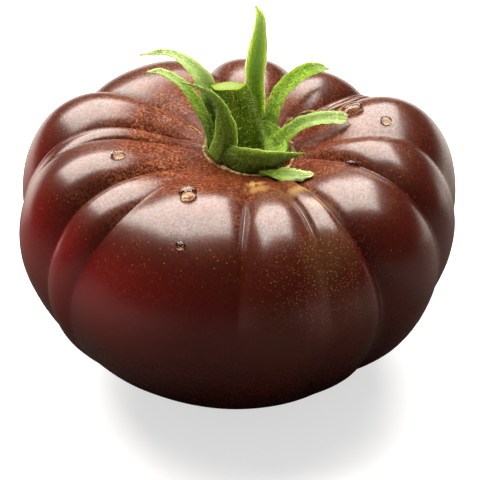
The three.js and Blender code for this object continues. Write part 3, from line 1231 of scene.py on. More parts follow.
        place = wiring.position()
        above_floor = wiring.between(wiring.split(place)[2], self.even_up_to * MM, self.uneven_from * MM)
        broad = wiring.uneven(wiring.scaled(place, wiring.size("Unevenness size")), detail=1.0)
        fine = wiring.uneven(wiring.scaled(place, wiring.size("Ripple size")), detail=2.0)
        run = wiring.scaled(wiring.mark("run", vector=True), self.wrinkles_per_radian)
        fans = wiring.uneven(run, detail=2.5)
        in_basin = wiring.times(wiring.between(down, *self.wrinkles_start),
                                wiring.between(down, *self.wrinkles_end))
        swell = wiring.plus(wiring.times(broad, wiring.size("Unevenness")),
                            wiring.times(fine, wiring.size("Ripple")),
                            wiring.times(fans, wiring.size("Basin wrinkle"), in_basin))
        skin = wiring.along_normal(skin, wiring.times(swell, above_floor))
        dimple = wiring.times(wiring.between(down, self.blossom_from, 1.0), wiring.size("Blossom dimple"))
        return wiring.finished(wiring.moved(skin, Offset=wiring.joined(0.0, 0.0, dimple)))

    def build(self, finish: bpy.types.Material) -> bpy.types.Object:
        """Builds the fruit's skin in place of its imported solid.

        Args:
            finish: The skin's material.

        Returns:
            The finished piece.
        """
        low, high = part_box("calyx_base")
        sizes = self.sizes((low + high) / 2)
        piece = grown("fruit_skin", self.start_mesh(), self.tree(sizes), sizes, finish)
        seated(piece, ["fruit"])
        return piece


class SkinSurface:
    """Finds places on the finished skin, seen from straight above."""

    start_height = 200.0

    def __init__(self, skin: bpy.types.Object) -> None:
        """Prepares the search on the finished fruit skin."""
        points = [vertex.co for vertex in skin.data.vertices]
        self.search = BVHTree.FromPolygons(points, [tuple(face.vertices) for face in skin.data.polygons])

    def below(self, x: float, y: float) -> tuple[Vector, Vector]:
        """Returns the place on the skin under a point in millimetres, and the outward normal there."""
        overhead = Vector((x * MM, y * MM, self.start_height * MM))
        return self.search.ray_cast(overhead, Vector((0, 0, -1)))[:2]


# ---- Bodies that follow a path ----


@dataclass(frozen=True)
class PathGrid:
    """A closed start mesh round a path. Its points carry the path's frame for a tree to shape."""

    path: tuple[Point, ...]
    faces: Point
    turns: Point
    rings: int
    sides: int

    def build(self, name: str, extra: Mapping[str, np.ndarray] | None = None,
              places: np.ndarray | None = None) -> bpy.types.Mesh:
        """Makes the start mesh.

        Args:
            name: Name of the mesh.
            extra: Further values for each ring.
            places: Share of the way of each ring, or None for even steps.

        Returns:
            The start mesh.
        """
        places = np.linspace(0, 1, self.rings) if places is None else places
        middle = along_points(self.path, places, PathEnds.STRAIGHT_ON)
        heading = heading_at(self.path, places, PathEnds.STRAIGHT_ON)
        share = eased(0, 1, places)[:, None]
        face = unit(np.array(self.faces, float)) * (1 - share) + unit(np.array(self.turns, float)) * share
        face = unit(face - heading * (face * heading).sum(-1, keepdims=True))
        across = np.cross(face, heading)
        angle = np.tile(np.arange(self.sides) * 2 * math.pi / self.sides, self.rings)

        def ringed(values: np.ndarray) -> np.ndarray:
            """Gives each point the value of its ring, and the end points those of the end rings."""
            inner = np.repeat(values, self.sides, axis=0)
            return np.concatenate([values[:1], inner, values[-1:]])

        opened = np.concatenate([[0.0], np.ones(len(angle)), [0.0]])
        marks = {
            "middle": ringed(middle * MM), "heading": ringed(heading), "face": ringed(face),
            "sideways": ringed(across), "place": ringed(places),
            "angle": np.concatenate([[0.0], angle, [0.0]]), "opened": opened,
        }
        for label, values in (extra or {}).items():
            marks[label] = ringed(values)
        faces = capsule_faces(self.rings, self.sides, turned=True)
        return new_mesh(name, marks["middle"], faces, marks)


# ---- Sepals ----


@dataclass(frozen=True)
class Sepal:
    """One sepal: its midrib, the way its upper face looks, and its widths."""

    name: str
    path: tuple[Point, ...]
    faces: Point
    turns: Point
    root: float
    wide: float
    widest: float
    taper: float
    cup: float
    wave: float = 0.3
    blunt: float = 0.1
    teeth: float = 0.0
    paleness_and_painted_light: float = 0.5
    pale_from: float = 0.45
    seen_through: float = 0.3


@dataclass(frozen=True)
class Sepals:
    """The eight sepals, anticlockwise from the one that stands upright at the back."""

    blades: tuple[Sepal, ...] = (
        # sepal_1 is pale from near its root as painted light, a lit look on this upright sepal, which stands
        # in shade; its pale tip is its own colour.
        Sepal("sepal_1", ((4.5, 9.1, 61.4), (4.1, 9.8, 68), (4, 10.4, 76), (4.9, 11, 84), (5.2, 11.6, 89.5),
                          (4.1, 12, 92.6)),
              (0, -1, 0.2), (-0.2, -1, 0.2), 2.1, 2.45, 0.42, 1.1, 0.7, paleness_and_painted_light=0.85, pale_from=0.05,
              seen_through=0.65),
        Sepal("sepal_2", ((7.6, 7.1, 61.6), (8.5, 9.4, 66), (10.7, 13, 69), (14.5, 17, 70.6),
                          (18.5, 21, 70.1), (21.8, 24, 68.3)),
              (-0.6, -0.7, 0.4), (-0.2, -0.6, 0.8), 2.2, 2.1, 0.4, 2.6, 0.7, paleness_and_painted_light=0.6, pale_from=0.72),
        Sepal("sepal_3", ((9.4, 1.2, 61.8), (12.6, 2.8, 64.6), (16.4, 3.4, 66.6), (21.3, 3.8, 67.3),
                          (25.5, 4, 66.9)),
              (-0.5, -0.5, 0.8), (0.1, -0.5, 0.85), 2.1, 1.75, 0.5, 3.0, 0.6, blunt=0.7, teeth=0.2,
              paleness_and_painted_light=0.8, pale_from=0.1),
        Sepal("sepal_4", ((5.0, -9.6, 61.6), (8.6, -11.6, 62.2), (11.6, -12.9, 62.8), (14.4, -13.8, 63.4),
                          (17.2, -14.4, 64.0)),
              (0, -0.5, 0.85), (0, -0.6, 0.8), 0.5, 1.8, 0.5, 1.5, 0.4, wave=0.5, teeth=0.35, paleness_and_painted_light=0.9,
              pale_from=0.1),
        Sepal("sepal_5", ((-2.4, -4.4, 63.2), (0.4, -7.6, 63.5), (5.6, -9.3, 64.0), (11.0, -8.9, 64.9),
                          (15.4, -7.1, 64.9)),
              (0.3, 0.95, 0.25), (0, 0.8, 0.6), 2.9, 3.8, 0.4, 1.4, 1.0, paleness_and_painted_light=0.5),
        Sepal("sepal_6", ((-4.6, -4.7, 61.2), (-2.9, -5.2, 67.5), (-3.3, -5.2, 73), (-5.1, -4.3, 77.8),
                          (-8.5, -2.2, 79.4), (-13.1, 1, 78.9)),
              (0.4, 0.9, 0.1), (0.3, 0.5, 0.8), 3.0, 2.8, 0.28, 0.8, 0.8, paleness_and_painted_light=0.4),
        Sepal("sepal_7", ((-6.7, 0, 61.2), (-6.8, 0.2, 65.6), (-8.8, 1.6, 71), (-12.5, 4.6, 75.6),
                          (-17.5, 8.2, 77), (-21.1, 10, 76)),
              (0.9, -0.4, 0.3), (0.4, -0.7, 0.6), 2.0, 1.7, 0.3, 1.2, 0.5, paleness_and_painted_light=0.8),
        Sepal("sepal_8", ((-4.6, 5.6, 61.4), (-6.4, 5.4, 67), (-7.3, 7, 73.3), (-10.5, 10, 77.3),
                          (-16, 14.2, 78.6), (-23, 17, 76.3)),
              (0.6, -0.7, 0.3), (0.2, -0.7, 0.7), 2.1, 2.3, 0.4, 0.9, 0.7, paleness_and_painted_light=1.0, pale_from=0.15),
    )
    half_thickness: float = 0.42
    edge_share: float = 0.3
    tip_half_width: float = 0.16
    groove: float = 0.3
    keel: float = 0.35
    wave_size: float = 4.0
    seed_step: float = 7.0
    side_apart: float = 3.0
    teeth_per_wave: float = 3.2
    teeth_depth: float = 0.6
    teeth_start: tuple[float, float] = (0.3, 0.6)
    teeth_edge: tuple[float, float] = (0.45, 0.62)
    thins_from: float = 0.7
    tip_thickness: float = 0.4
    rib_width: float = 0.32
    rib_fades_from: float = 0.6
    flutters_per_wave: float = 1.7
    flutter_height: float = 1.6
    rings: int = 72
    sides: int = 28

    def sizes(self, sepal: Sepal, number: int) -> dict[str, Value]:
        """Lists the values of the tree's named inputs for one blade.

        Args:
            sepal: The blade's measures.
            number: The blade's number, which sets its own unevenness.

        Returns:
            Each input's name and value.
        """
        return {
            "Root": sepal.root * MM,
            "Wide": sepal.wide * MM,
            "Widest": sepal.widest,
            "Taper": sepal.taper,
            "Tip": (self.tip_half_width + sepal.blunt) * MM,
            "Cup": sepal.cup * MM,
            "Half thickness": self.half_thickness * MM,
            "Edge share": self.edge_share,
            "Groove": self.groove * MM,
            "Keel": self.keel * MM,
            "Wave": sepal.wave * MM * 2,
            "Wave size": 1 / (self.wave_size * MM),
            "Teeth": sepal.teeth,
            "Seed": self.seed_step * number,
        }

    def tree(self, sizes: Mapping[str, Value]) -> bpy.types.NodeTree:
        """Builds the tree that shapes one blade round its midrib.

        Args:
            sizes: The tree's named inputs and their usual values.

        Returns:
            The whole tree.
        """
        wiring = ShapeWiring("sepal blade", sizes)
        place, angle = wiring.mark("place"), wiring.mark("angle")
        sideways, upright = wiring.number("COSINE", angle), wiring.number("SINE", angle)
        opening = wiring.between(place, 0.0, wiring.size("Widest"), wiring.size("Root"), wiring.size("Wide"))
        past = wiring.between(place, wiring.size("Widest"), 1.0, soft=False)
        left_over = wiring.minus(1.0, wiring.number("POWER", past, wiring.size("Taper")))
        closing = wiring.plus(wiring.times(left_over, wiring.size("Wide")), wiring.size("Tip"))
        half_width = wiring.number("MINIMUM", opening, closing)

        edge = wiring.number("ABSOLUTE", sideways)
        squared = wiring.times(edge, edge)
        side = wiring.times(wiring.number("SIGN", sideways), self.side_apart)
        middle = wiring.mark("middle", vector=True)
        spot = wiring.vector("ADD", wiring.scaled(middle, wiring.size("Wave size")),
                             wiring.joined(side, wiring.size("Seed"), 0.0))
        sway = wiring.uneven(spot, detail=1.5)
        notch = wiring.noise(wiring.scaled(spot, self.teeth_per_wave), 1.0, detail=0.0)
        notch = wiring.times(wiring.between(notch, *self.teeth_edge), wiring.size("Teeth"),
                             wiring.between(place, *self.teeth_start))
        half_width = wiring.times(half_width, wiring.minus(1.0, wiring.times(notch, self.teeth_depth)))
        waved = wiring.plus(half_width, wiring.times(sway, wiring.size("Wave"), squared))

        slim = wiring.blend(squared, 1.0, wiring.size("Edge share"))
        tip_thin = wiring.between(place, self.thins_from, 1.0, 1.0, self.tip_thickness)
        thickness = wiring.times(wiring.size("Half thickness"), slim, tip_thin)
        relative = wiring.number("DIVIDE", half_width, wiring.size("Wide"))
        lift = wiring.times(wiring.size("Cup"), relative, squared)
        flutter = wiring.uneven(wiring.scaled(spot, self.flutters_per_wave), detail=1.0)
        lift = wiring.plus(lift, wiring.times(flutter, wiring.size("Wave"), self.flutter_height, squared))
        near_rib = wiring.between(edge, self.rib_width, 0.0)
        fade = wiring.between(place, 1.0, self.rib_fades_from)
        above = wiring.number("GREATER_THAN", upright, 0.0)
        under = wiring.minus(1.0, above)
        groove = wiring.times(near_rib, wiring.size("Groove"), fade, above)
        keel = wiring.times(near_rib, wiring.size("Keel"), fade, under)
        out = wiring.minus(wiring.plus(lift, wiring.times(thickness, upright)), wiring.plus(groove, keel))

        opened = wiring.mark("opened")
        to_side = wiring.scaled(wiring.mark("sideways", vector=True), wiring.times(waved, sideways, opened))
        to_face = wiring.scaled(wiring.mark("face", vector=True), wiring.times(out, opened))
        shape = wiring.vector("ADD", to_side, to_face)
        blade = wiring.moved(wiring.size("Geometry"), Position=wiring.vector("ADD", middle, shape))
        return wiring.finished(wiring.kept(wiring.kept(blade, "edge", edge), "under", under))

    def build(self, effects: Effects) -> list[bpy.types.Object]:
        """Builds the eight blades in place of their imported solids.

        Args:
            effects: The shared shader groups.

        Returns:
            The finished blades.
        """
        tree = self.tree(self.sizes(self.blades[0], 0))
        pieces = []
        for number, sepal in enumerate(self.blades, start=1):
            finish = LeafFinish(f"{sepal.name}_green", paleness_and_painted_light=sepal.paleness_and_painted_light, pale_from=sepal.pale_from,
                                seen_through=sepal.seen_through).build(effects)
            grid = PathGrid(sepal.path, sepal.faces, sepal.turns, self.rings, self.sides)
            start = grid.build(f"{sepal.name}_start")
            piece = grown(f"{sepal.name}_blade", start, tree, self.sizes(sepal, number), finish)
            seated(piece, [sepal.name])
            pieces.append(piece)
        return pieces


# ---- Rough surfaces ----


CUP_GRAIN = 0.5
CORK_GRAIN = 0.65


def rough_sizes(height: float, size: float) -> dict[str, Value]:
    """Lists the inputs of a roughening tree: how far the surface goes in and out, and over what width."""
    return {"Height": height * MM, "Size": 1 / (size * MM)}


def roughened(name: str, grain: float) -> bpy.types.NodeTree:
    """Builds a tree that roughens a surface.

    Args:
        name: Name of the tree.
        grain: Share of fine detail in the roughness.

    Returns:
        The whole tree.
    """
    wiring = ShapeWiring(name, rough_sizes(1.0, 1.0))
    crumbs = wiring.uneven(wiring.scaled(wiring.position(), wiring.size("Size")), 3.0, grain)
    push = wiring.times(crumbs, wiring.size("Height"))
    return wiring.finished(wiring.along_normal(wiring.size("Geometry"), push))


# ---- Calyx cup ----


@dataclass(frozen=True)
class CalyxCup:
    """The shallow cup that the sepals grow together in, round the foot of the stalk.

    Foot, rim and height are given every eighth of a turn, anticlockwise from the right.
    """

    foot: tuple[float, ...] = (8.6, 8.4, 8.2, 8.4, 8.6, 7.8, 9.2, 9.6)
    rim: tuple[float, ...] = (9.0, 9.0, 8.6, 8.3, 8.4, 8.6, 9.8, 10.4)
    height: tuple[float, ...] = (2.4, 3.0, 3.2, 2.8, 2.8, 4.2, 4.6, 3.2)
    wall: float = 1.1
    flare: float = 0.7
    floor: float = 1.3
    draws_in: float = 0.28
    sunk: float = 0.4
    depth_of_green: float = 0.4
    sides: int = 144
    bumps: float = 0.55
    bump_size: float = 1.6

    def start_mesh(self, middle: Vector, base: float) -> bpy.types.Mesh:
        """Makes the closed cup: under side, outer wall, rim, inner wall and floor.

        Args:
            middle: Middle of the calyx, in metres.
            base: Height of its under side, in metres.

        Returns:
            The start mesh.
        """
        turn = np.arange(self.sides) * 2 * math.pi / self.sides
        foot, rim, height = (around(values, turn) for values in (self.foot, self.rim, self.height))
        outline: list[tuple[np.ndarray, np.ndarray]] = []
        for share in np.linspace(0.15, 1.0, 8):
            outline.append((foot * share, np.zeros_like(turn)))
        for share in np.linspace(0.1, 1.0, 9):
            outline.append((foot + (rim - foot) * share**self.flare, height * share))
        for corner in np.linspace(0.2, 1.0, 5):
            lean = math.pi * corner
            inside = rim - self.wall / 2 * (1 - math.cos(lean))
            outline.append((inside, height + self.wall / 2 * math.sin(lean)))
        for share in np.linspace(0.1, 1.0, 9):
            floor = self.floor + (height - self.floor) * (1 - eased(0, 1, share))
            outline.append(((rim - self.wall) * (1 - self.draws_in * share), floor))
        for share in np.linspace(0.85, 0.1, 8):
            outline.append(((rim - self.wall) * (1 - self.draws_in) * share, np.full_like(turn, self.floor)))
        rows = len(outline)
        radius = np.array([row[0] for row in outline])
        level = np.array([row[1] for row in outline])
        x = middle.x + radius * np.cos(turn) * MM
        y = middle.y + radius * np.sin(turn) * MM
        z = base + level * MM
        points = np.vstack([
            [middle.x, middle.y, base],
            np.stack([x, y, z], -1).reshape(-1, 3),
            [middle.x, middle.y, base + self.floor * MM],
        ])
        place = np.repeat(level.mean(1) / max(self.height), self.sides) * self.depth_of_green
        flat = np.zeros(len(points))
        marks = {
            "place": np.concatenate([[0.0], place, [0.0]]),
            "edge": flat + self.depth_of_green,
            "under": flat,
        }
        return new_mesh("calyx_start", points, capsule_faces(rows, self.sides, turned=True), marks)

    def build(self, effects: Effects) -> bpy.types.Object:
        """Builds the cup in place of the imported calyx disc.

        Args:
            effects: The shared shader groups.

        Returns:
            The finished piece.
        """
        low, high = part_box("calyx_base")
        middle = (low + high) / 2
        finish = LeafFinish(name="calyx_green", deep=(0.06, 0.12, 0.01), paleness_and_painted_light=0.4).build(effects)
        start = self.start_mesh(middle, low.z - self.sunk * MM)
        tree = roughened("calyx cup", CUP_GRAIN)
        piece = grown("calyx_cup", start, tree, rough_sizes(2 * self.bumps, self.bump_size), finish)
        seated(piece, ["calyx_base"])
        return piece


# ---- Stalk ----


@dataclass(frozen=True)
class Stalk:
    """The cut stub of the fruit stalk: ribbed, widening to a nearly level cut."""

    path: tuple[Point, ...] = ((1.7, 1, 61.8), (1.6, 1.1, 64.5), (0.5, 2.9, 68.6), (-0.8, 4.4, 71.8),
                               (-2.3, 6, 74.7))
    radii: tuple[float, ...] = (4.7, 4.15, 3.95, 3.75, 3.7)
    cut_faces: Point = (-0.05, 0.30, 0.95)
    ribs: int = 5
    rib_height: float = 0.28
    rib_twist: float = 1.1
    roughness: float = 0.22
    grain_size: float = 2.2
    grain_round: float = 4.0
    tilts_from: float = 0.35
    cut_from: float = 0.9999
    cap_closes: float = 0.97
    rind_share: float = 0.04
    streak_stretch: float = 0.8
    rings: int = 70
    cap_rings: int = 14
    sides: int = 72

    def sizes(self) -> dict[str, Value]:
        """Lists the tree's named inputs and their values.

        Returns:
            Each input's name and value.
        """
        return {
            "Ribs": float(self.ribs),
            "Rib height": self.rib_height * MM,
            "Roughness": 2 * self.roughness * MM,
            "Grain size": 1 / (self.grain_size * MM),
            "Cut point": tuple(np.array(self.path[-1]) * MM),
            "Cut faces": tuple(unit(np.array(self.cut_faces))),
        }

    def tree(self) -> bpy.types.NodeTree:
        """Builds the tree that ribs the stalk and shears its end to the cut.

        Returns:
            The whole tree.
        """
        wiring = ShapeWiring("ribbed stalk", self.sizes())
        angle, place = wiring.mark("angle"), wiring.mark("place")
        cosine, sine = wiring.number("COSINE", angle), wiring.number("SINE", angle)
        middle, heading = wiring.mark("middle", vector=True), wiring.mark("heading", vector=True)
        twist = wiring.plus(wiring.times(angle, wiring.size("Ribs")), wiring.times(place, self.rib_twist))
        ribbed = wiring.times(wiring.number("COSINE", twist), wiring.size("Rib height"))
        spot = wiring.vector("ADD", wiring.scaled(middle, wiring.size("Grain size")), wiring.joined(
            wiring.times(cosine, self.grain_round), wiring.times(sine, self.grain_round), 0.0))
        grain = wiring.times(wiring.uneven(spot, detail=3.0), wiring.size("Roughness"))
        radius = wiring.plus(wiring.mark("radius"), ribbed, grain)
        radius = wiring.times(radius, wiring.mark("shrink"), wiring.mark("opened"))
        to_side = wiring.scaled(wiring.mark("sideways", vector=True), wiring.times(radius, cosine))
        to_face = wiring.scaled(wiring.mark("face", vector=True), wiring.times(radius, sine))
        spot = wiring.vector("ADD", middle, wiring.vector("ADD", to_side, to_face))

        slope = wiring.vector("DOT_PRODUCT", heading, wiring.size("Cut faces"))
        spot_to_cut, middle_to_cut = (
            wiring.number("DIVIDE", wiring.vector(
                "DOT_PRODUCT", wiring.vector("SUBTRACT", wiring.size("Cut point"), start),
                wiring.size("Cut faces")), slope)
            for start in (spot, middle))
        nearing = wiring.between(place, self.tilts_from, 1.0)
        tilt = wiring.times(wiring.minus(spot_to_cut, middle_to_cut), nearing)
        on_cut = wiring.number("GREATER_THAN", place, self.cut_from)
        shift = wiring.blend(on_cut, tilt, spot_to_cut)
        placed = wiring.vector("ADD", spot, wiring.scaled(heading, shift))
        return wiring.finished(wiring.moved(wiring.size("Geometry"), Position=placed))

    def build(self, finish: bpy.types.Material) -> bpy.types.Object:
        """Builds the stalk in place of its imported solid.

        Args:
            finish: The stalk's material.

        Returns:
            The finished piece.
        """
        inwards = np.linspace(0, 1, self.cap_rings + 1)[1:]
        places = np.concatenate([np.linspace(0, 1, self.rings), np.ones(self.cap_rings)])
        radius = np.interp(places, np.linspace(0, 1, len(self.radii)), self.radii)
        shrink = np.concatenate([np.ones(self.rings), 1 - inwards * self.cap_closes])
        cut = np.concatenate([np.zeros(self.rings), self.rind_share + (1 - self.rind_share) * inwards])
        total = self.rings + self.cap_rings
        grid = PathGrid(self.path, (0, -1, 0), (0, -1, 0), total, self.sides)
        start = grid.build("stalk_start", {"radius": radius * MM, "shrink": shrink, "cut": cut}, places)
        angle = np.zeros(len(start.vertices), np.float32)
        start.attributes["angle"].data.foreach_get("value", angle)
        way = np.zeros(len(start.vertices), np.float32)
        start.attributes["place"].data.foreach_get("value", way)
        run = np.stack([np.cos(angle), np.sin(angle), way * self.streak_stretch], 1)
        kept = start.attributes.new("run", "FLOAT_VECTOR", "POINT")
        kept.data.foreach_set("vector", run.astype(np.float32).ravel())
        piece = grown("stalk", start, self.tree(), self.sizes(), finish)
        seated(piece, ["stem"])
        return piece


# ---- Down ----


@dataclass(frozen=True)
class DownPatch:
    """One piece of down: what it grows on, its hairs on each square millimetre, and its scatter's seed."""

    name: str
    hosts: Sequence[bpy.types.Object]
    per_mm2: float
    slot: Slot
    seed: int


@dataclass(frozen=True)
class Down:
    """Short plant hair on green surfaces."""

    length: float = 0.75
    thickness: float = 0.036
    lean: float = 0.6
    bend: float = 0.35
    shortest: float = 0.55
    longest: float = 1.35
    length_seed: int = 3
    upright_share: float = 0.55
    tip_share: float = 0.2
    steps: int = 3
    sides: int = 3
    bald_from_cut: float = 0.02

    def sizes(self, per_mm2: float, seed: int) -> dict[str, Value]:
        """Lists the values of the tree's named inputs.

        Args:
            per_mm2: Hairs on each square millimetre.
            seed: Seed of the scatter.

        Returns:
            Each input's name and value.
        """
        return {
            "Density": per_mm2 / MM**2,
            "Length": self.length * MM,
            "Thickness": self.thickness * MM,
            "Lean": self.lean,
            "Bend": self.bend,
            "Seed": seed,
        }

    def tree(self) -> bpy.types.NodeTree:
        """Builds the tree that scatters bent, tapering hairs over a surface.

        Returns:
            The whole tree.
        """
        wiring = ShapeWiring("down", self.sizes(1.0, 1))
        keep = wiring.times(wiring.size("Density"), wiring.mark("downy"))
        spread = wiring.add("GeometryNodeDistributePointsOnFaces", {
            "Mesh": wiring.size("Geometry"), "Density": keep, "Seed": wiring.size("Seed"),
        })
        length = wiring.size("Length")
        curve = wiring.add("GeometryNodeCurveQuadraticBezier", {
            "Resolution": self.steps,
            "Start": (0.0, 0.0, 0.0),
            "Middle": wiring.joined(0.0, 0.0, wiring.times(length, self.upright_share)),
            "End": wiring.joined(wiring.times(length, wiring.size("Bend")), 0.0, length),
        }).outputs[0]
        factor = wiring.add("GeometryNodeSplineParameter").outputs["Factor"]
        curve = wiring.kept(curve, "hair_place", factor)
        ring = wiring.add("GeometryNodeCurvePrimitiveCircle", {
            "Resolution": self.sides, "Radius": wiring.size("Thickness"),
        })
        hair = wiring.add("GeometryNodeCurveToMesh", {
            "Curve": curve, "Profile Curve": ring.outputs[0],
            "Scale": wiring.between(factor, 0.0, 1.0, 1.0, self.tip_share, soft=False), "Fill Caps": True,
        }).outputs[0]
        lean = wiring.size("Lean")
        opposite = wiring.times(lean, -1.0)
        random = wiring.add("FunctionNodeRandomValue", data_type="FLOAT_VECTOR")
        wiring.feed(random.inputs[0], wiring.joined(opposite, opposite, -math.pi))
        wiring.feed(random.inputs[1], wiring.joined(lean, lean, math.pi))
        tilt = wiring.add("FunctionNodeEulerToRotation", {0: random.outputs[0]}).outputs[0]
        turned = wiring.add("FunctionNodeRotateRotation", {
            "Rotation": spread.outputs["Rotation"], "Rotate By": tilt,
        }, rotation_space="LOCAL").outputs[0]
        size = wiring.add("FunctionNodeRandomValue", {
            2: self.shortest, 3: self.longest, "Seed": self.length_seed,
        }).outputs[1]
        placed = wiring.add("GeometryNodeInstanceOnPoints", {
            "Points": spread.outputs["Points"], "Instance": hair, "Rotation": turned,
            "Scale": wiring.joined(1.0, 1.0, size),
        }).outputs[0]
        return wiring.finished(placed)

    def start_mesh(self, patch: DownPatch) -> bpy.types.Mesh:
        """Joins the surfaces that hair grows on. Its points say where it may grow.

        Args:
            patch: The piece of down.

        Returns:
            The start mesh.
        """
        points: list[Vector] = []
        faces: list[tuple[int, ...]] = []
        downy: list[float] = []
        for host in patch.hosts:
            first = len(points)
            points.extend(vertex.co for vertex in host.data.vertices)
            faces.extend(tuple(first + corner for corner in face.vertices) for face in host.data.polygons)
            cut = host.data.attributes.get("cut")
            downy.extend(1.0 if cut is None or cut.data[index].value < self.bald_from_cut else 0.0
                         for index in range(len(host.data.vertices)))
        return new_mesh(patch.name + "_start", np.array(points), faces, {"downy": np.array(downy)})

    def build(self, patches: Sequence[DownPatch], finish: bpy.types.Material) -> None:
        """Grows the hair, one piece for each patch.

        Args:
            patches: The pieces of down.
            finish: The hair's material.
        """
        tree = self.tree()
        for patch in patches:
            sizes = self.sizes(patch.per_mm2, patch.seed)
            seated(grown(patch.name, self.start_mesh(patch), tree, sizes, finish))


# ---- Cork ----


@dataclass(frozen=True)
class CorkRing:
    """The dry, cracked lip of skin round the calyx, and short dry scars that run out from it.

    Its distance from the middle of the calyx is given every eighth of a turn, anticlockwise from the right.
    """

    distance: tuple[float, ...] = (10.2, 9.6, 9.4, 10.3, 10.4, 9.1, 10.4, 11.7)
    half_width: float = 0.5
    half_height: float = 0.36
    swell: float = 0.45
    swells: tuple[int, int] = (9, 4)
    crumb_height: float = 0.7
    scar_crumb_height: float = 0.35
    crumb_size: float = 0.8
    steps: int = 220
    sides: int = 10
    scars: tuple[tuple[tuple[float, float], ...], ...] = (
        ((10.6, 10.0), (11.8, 11.4), (13.0, 12.4)),
        ((11.5, 8.6), (13.6, 10.2), (16.0, 11.2)),
        ((14.6, 13.6), (17.6, 14.8), (21.6, 15.6)),
        ((8.8, 11.6), (9.6, 13.4), (10.0, 15.6)),
        ((-8.4, 6.2), (-9.8, 7.6), (-11.8, 8.4)),
    )
    scar_half_width: float = 0.3
    scar_end: float = 0.06
    scar_fullness: float = 0.8
    scar_flatness: float = 0.7
    scar_steps: int = 26

    def ring_mesh(self, surface: SkinSurface, middle: Vector) -> bpy.types.Mesh:
        """Lays a closed ring on the skin.

        Args:
            surface: The skin that it lies on.
            middle: Middle of the calyx, in metres.

        Returns:
            The start mesh.
        """
        turn = np.arange(self.steps) * 2 * math.pi / self.steps
        reach = around(self.distance, turn)
        angle = np.arange(self.sides) * 2 * math.pi / self.sides
        points = []
        for direction, far in zip(turn, reach):
            outward = Vector((math.cos(direction), math.sin(direction), 0))
            at = middle / MM + outward * far
            place, normal = surface.below(at.x, at.y)
            side = (outward - normal * outward.dot(normal)).normalized()
            swelling = math.sin(self.swells[0] * direction) * math.sin(self.swells[1] * direction + 1.0)
            thick = 1.0 + self.swell * swelling
            for lean in angle:
                across = side * (self.half_width * math.cos(lean) * thick * MM)
                up = normal * (self.half_height * math.sin(lean) * thick * MM)
                points.append(place + across + up)
        faces = []
        for step in range(self.steps):
            here, there = step * self.sides, ((step + 1) % self.steps) * self.sides
            for corner in range(self.sides):
                beside = (corner + 1) % self.sides
                faces.append((here + corner, there + corner, there + beside, here + beside))
        return new_mesh("cork_start", np.array(points), faces, {})

    def scar_mesh(self, surface: SkinSurface) -> bpy.types.Mesh:
        """Lays the short scars on the skin, as tapering strips joined in one mesh.

        Args:
            surface: The skin that they lie on.

        Returns:
            The start mesh.
        """
        points: list[np.ndarray] = []
        faces: list[tuple[int, ...]] = []
        places = np.linspace(0, 1, self.scar_steps)
        for scar in self.scars:
            flat = along_points(scar, places, PathEnds.STRAIGHT_ON)
            spots = [surface.below(x, y) for x, y in flat]
            first = len(points)
            points.append(np.array(spots[0][0]))
            for index, (place, normal) in enumerate(spots):
                ahead = spots[min(index + 1, self.scar_steps - 1)][0] - spots[max(index - 1, 0)][0]
                side = ahead.cross(normal).normalized()
                along = self.scar_end + (1 - 2 * self.scar_end) * places[index]
                wide = self.scar_half_width * math.sin(math.pi * along) ** self.scar_fullness
                for corner in range(self.sides):
                    lean = corner * 2 * math.pi / self.sides
                    across = side * (wide * math.cos(lean) * MM)
                    up = normal * (self.scar_flatness * wide * math.sin(lean) * MM)
                    points.append(np.array(place + across + up))
            points.append(np.array(spots[-1][0]))
            faces.extend(tuple(first + corner for corner in face)
                         for face in capsule_faces(self.scar_steps, self.sides, turned=True))
        return new_mesh("scar_start", np.array(points), faces, {})

    def build(self, surface: SkinSurface, finish: bpy.types.Material) -> None:
        """Builds the ring and the scars.

        Args:
            surface: The skin that they lie on.
            finish: The cork's material.
        """
        low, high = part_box("calyx_base")
        tree = roughened("broken cork", CORK_GRAIN)
        for name, start, height in (
            ("cork_ring", self.ring_mesh(surface, (low + high) / 2), self.crumb_height),
            ("cork_scars", self.scar_mesh(surface), self.scar_crumb_height),
        ):
            seated(grown(name, start, tree, rough_sizes(height, self.crumb_size), finish))


# ---- Water ----


@dataclass(frozen=True)
class Bead:
    """One bead of water: where it sits seen from above, its length, width and height, and its heading."""

    x: float
    y: float
    length: float
    width: float
    height: float
    heading: float


